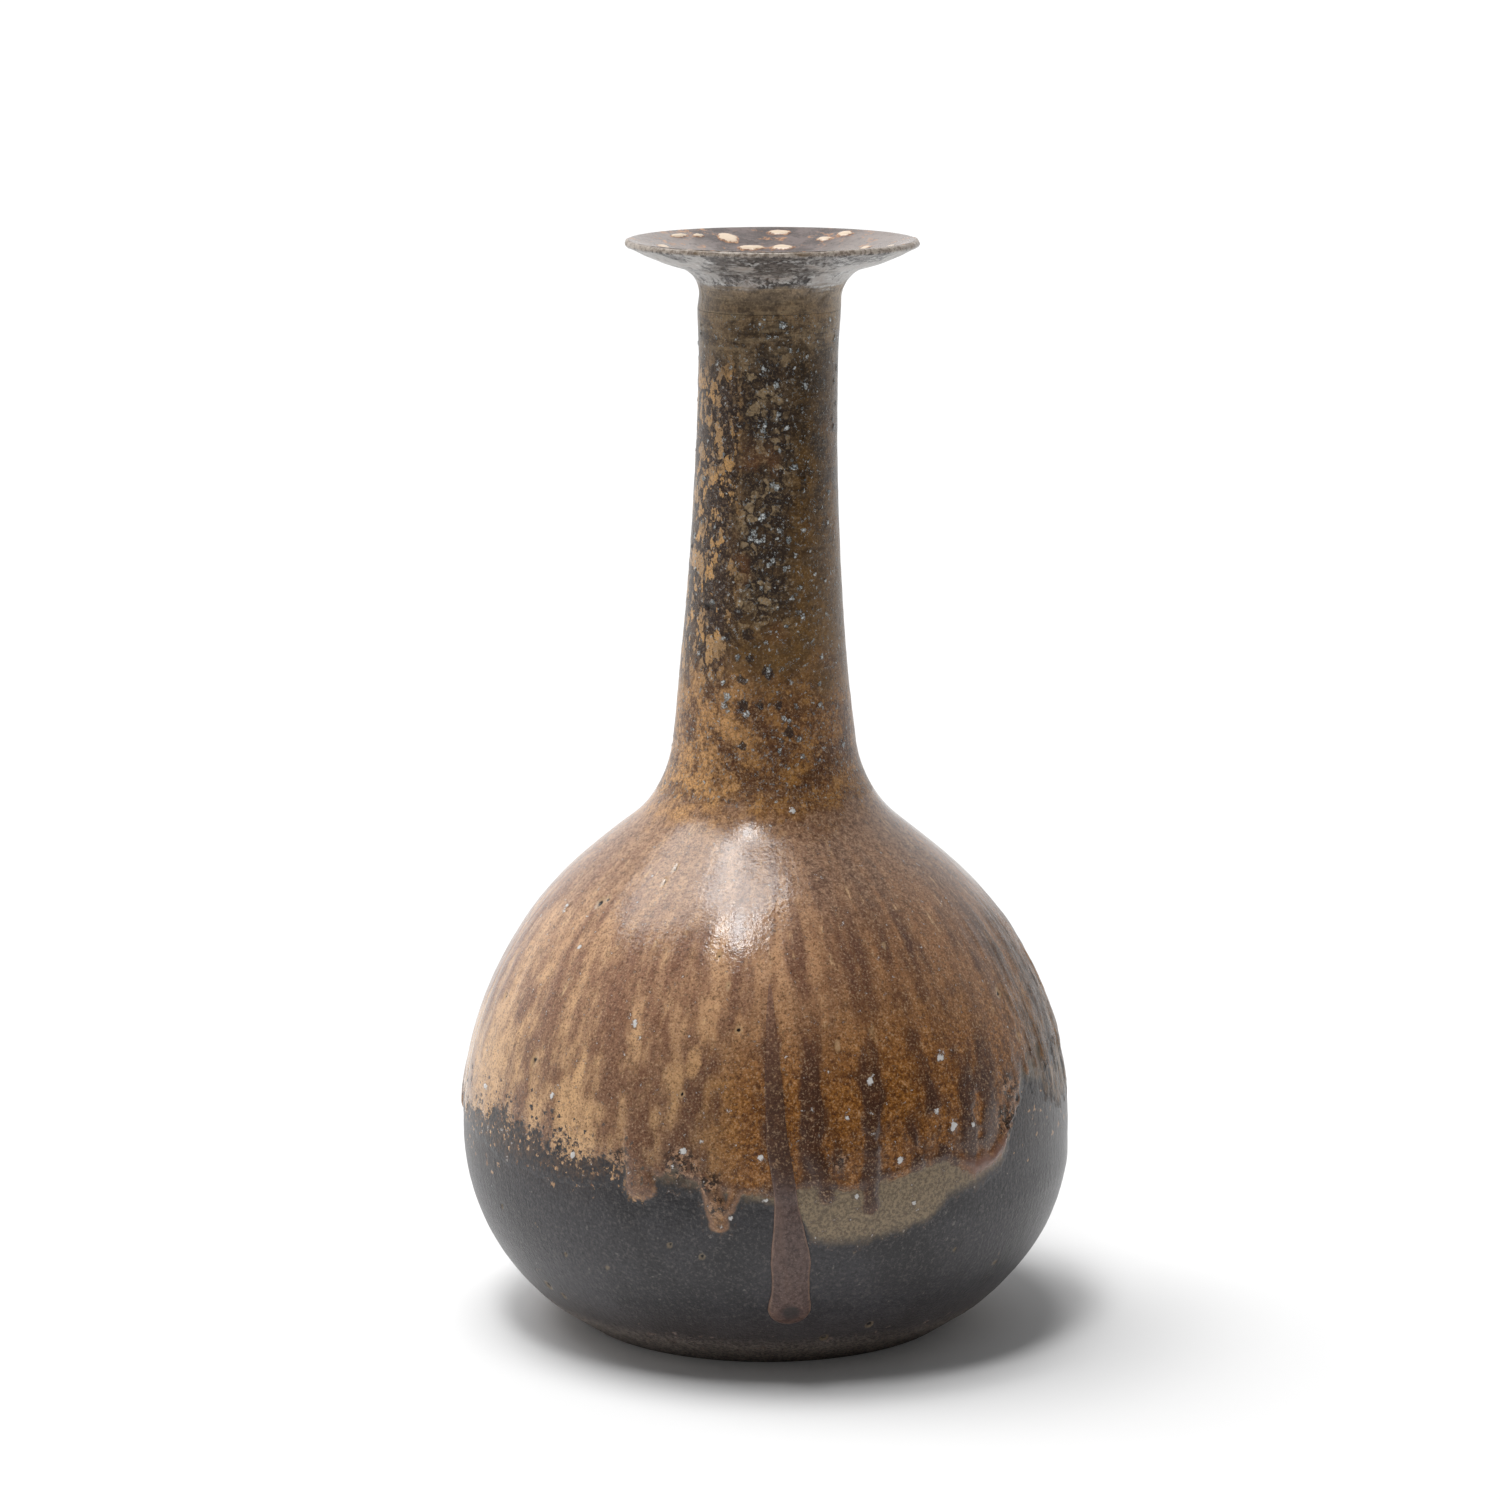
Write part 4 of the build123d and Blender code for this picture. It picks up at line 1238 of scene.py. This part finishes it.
mouth_clay, tree = bare_material("mouth_stoneware")
pot = use(tree, round_pot, Run_Length=3.0)
plain, up = pot["Plain"], pot["Height"]
speck = cloud(plain, 0.9, 5, 0.75)
broad = cloud(plain, 6.0, 4, 0.6)
smear = cloud(pot["Rings"], 0.8, 4, 0.65)
# Pale ash patches, with a painted sheen added towards the left and right sides.
pale_ash_and_side_sheen = summed(rougher(broad, speck, 0.6), maths("ABSOLUTE", pot["Right"]), 0.25)
lip_tone = mixed(band(speck, 0.42, 0.58), (120, 106, 94), (180, 168, 156))
lip_tone = tinted(lip_tone, (band(broad, 0.52, 0.62), 0.6, (104, 80, 48)))
colour = tinted(
    mixed(band(speck, 0.40, 0.60), (52, 48, 47), (110, 104, 100)),
    (band(pale_ash_and_side_sheen, 0.54, 0.72), 0.8, (172, 168, 164)),
    (times(band(smear, 0.50, 0.60), band(speck, 0.46, 0.56)), 0.7, (190, 190, 188)),
    (times(band(broad, 0.54, 0.66), band(smear, 0.42, 0.58)), 0.35, (122, 92, 66)),
    # Pitted places are drawn darker: painted shade in the pits.
    (painted(tree, "pitted"), 0.5, (36, 33, 32)),
    (band(rougher(up, smear, 5.0), 212.2, 210.4), 1, use(tree, collar_film)["Color"]),
    (band(rougher(up, speck, 0.8), 218.5, 218.9), 1, lip_tone),
)
skin(tree, colour, 0.34, summed(speck, smear, 0.8), 0.10)
clay_mouth.data.materials.append(mouth_clay)
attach(clay_mouth, "root")
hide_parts("mouth")

# ---- Dish glass ----
# The pool of ash glass in the dish of the mouth, which faced up and caught the most ash: purple brown, with
# thick cream drops that went orange round their edges.
glass_inner = 13.5
pool_depth = 0.8
pool_rise = 0.24
drop_rise = 0.32
cream_drops = [  # (degrees, distance from the middle, half width round the dish, half width across it)
    (-157, 22.7, 2.6, 3.0), (176, 25.0, 3.3, 1.7), (144, 25.6, 2.2, 1.7), (152, 22.4, 1.8, 1.2),
    (-132, 25.2, 3.4, 1.0), (-143, 24.4, 1.6, 1.0), (-166, 17.8, 3.4, 1.5), (173, 17.8, 3.2, 1.4),
    (-100, 22, 2.2, 1.6), (84, 23, 2.4, 1.7), (30, 21, 2.2, 1.8), (-20, 24, 2.4, 1.5), (-62, 20, 2.0, 1.6),
    (112, 20, 1.8, 1.4), (2, 17.5, 2.4, 1.3),
]
crest = arc(lip_middle, lip_thickness / 2, 90, 90 + dish_slope, 4)
glass_foot = (glass_inner, crest[-1, 1] - (crest[-1, 0] - glass_inner) * tan_of(dish_slope))
upper = np.concatenate((crest, np.linspace(crest[-1], glass_foot, 50)[1:]))
dish_glass, turn, section, out = turned(
    "dish_glass", [upper, inset(upper, pool_depth)[::-6]], steps=416, closed=True
)
points = on_wall(turn, section)
radius = section[:, 0]
surface = out[:, 1] > 0.1
drop = np.zeros(len(turn))
for around, distance, half_round, half_across in cream_drops:
    across = wrapped(turn, around) * radius / half_round
    drop = np.maximum(drop, 1 - np.hypot(across, (radius - distance) / half_across))
drop += 0.20 * lumps(points, 2.0, 51) + 0.10 * lumps(points, 0.9, 53)
margin = np.minimum(crest[0, 0] - radius, radius - glass_inner)
offset = pool_rise * ease(margin, -0.2, 0.8) + 0.05 * lumps(points, 3, 52) * ease(margin, 0.5, 2) - 0.02
offset += drop_rise * ease(drop, 0.1, 0.6) * ease(margin, 1, 3)
offset = np.minimum(offset, 0.3 + 0.4 * ease(margin, 1, 4))
place(dish_glass, turn, section, out, np.where(surface, offset, 0))
paint(dish_glass, drop=drop)

dish_ash, tree = bare_material("dish_ash_glass")
pot = use(tree, round_pot, Run_Length=3.0)
plain = pot["Plain"]
speck = cloud(plain, 1.0, 5, 0.75)
broad = cloud(plain, 4.0, 4, 0.6)
depth = rougher(painted(tree, "drop"), speck, 0.8)
colour = tinted(
    mixed(band(broad, 0.40, 0.62), (70, 54, 50), (108, 92, 88)),
    # Paler grey-mauve towards the left and right sides of the dish: a painted sheen.
    (band(maths("ABSOLUTE", pot["Right"]), 0.45, 0.85), 0.55, (168, 156, 148)),
    (band(speck, 0.46, 0.34), 0.4, (48, 34, 30)),
    (band(depth, 0.06, 0.24), 0.8, mixed(band(speck, 0.4, 0.6), (124, 72, 36), (196, 138, 84))),
    (band(depth, 0.22, 0.42), 0.95, (236, 214, 188)),
)
skin(tree, colour, 0.24, summed(speck, broad, 1.0), 0.08)
dish_glass.data.materials.append(dish_ash)
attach(dish_glass, "root")
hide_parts("mouth_glaze")
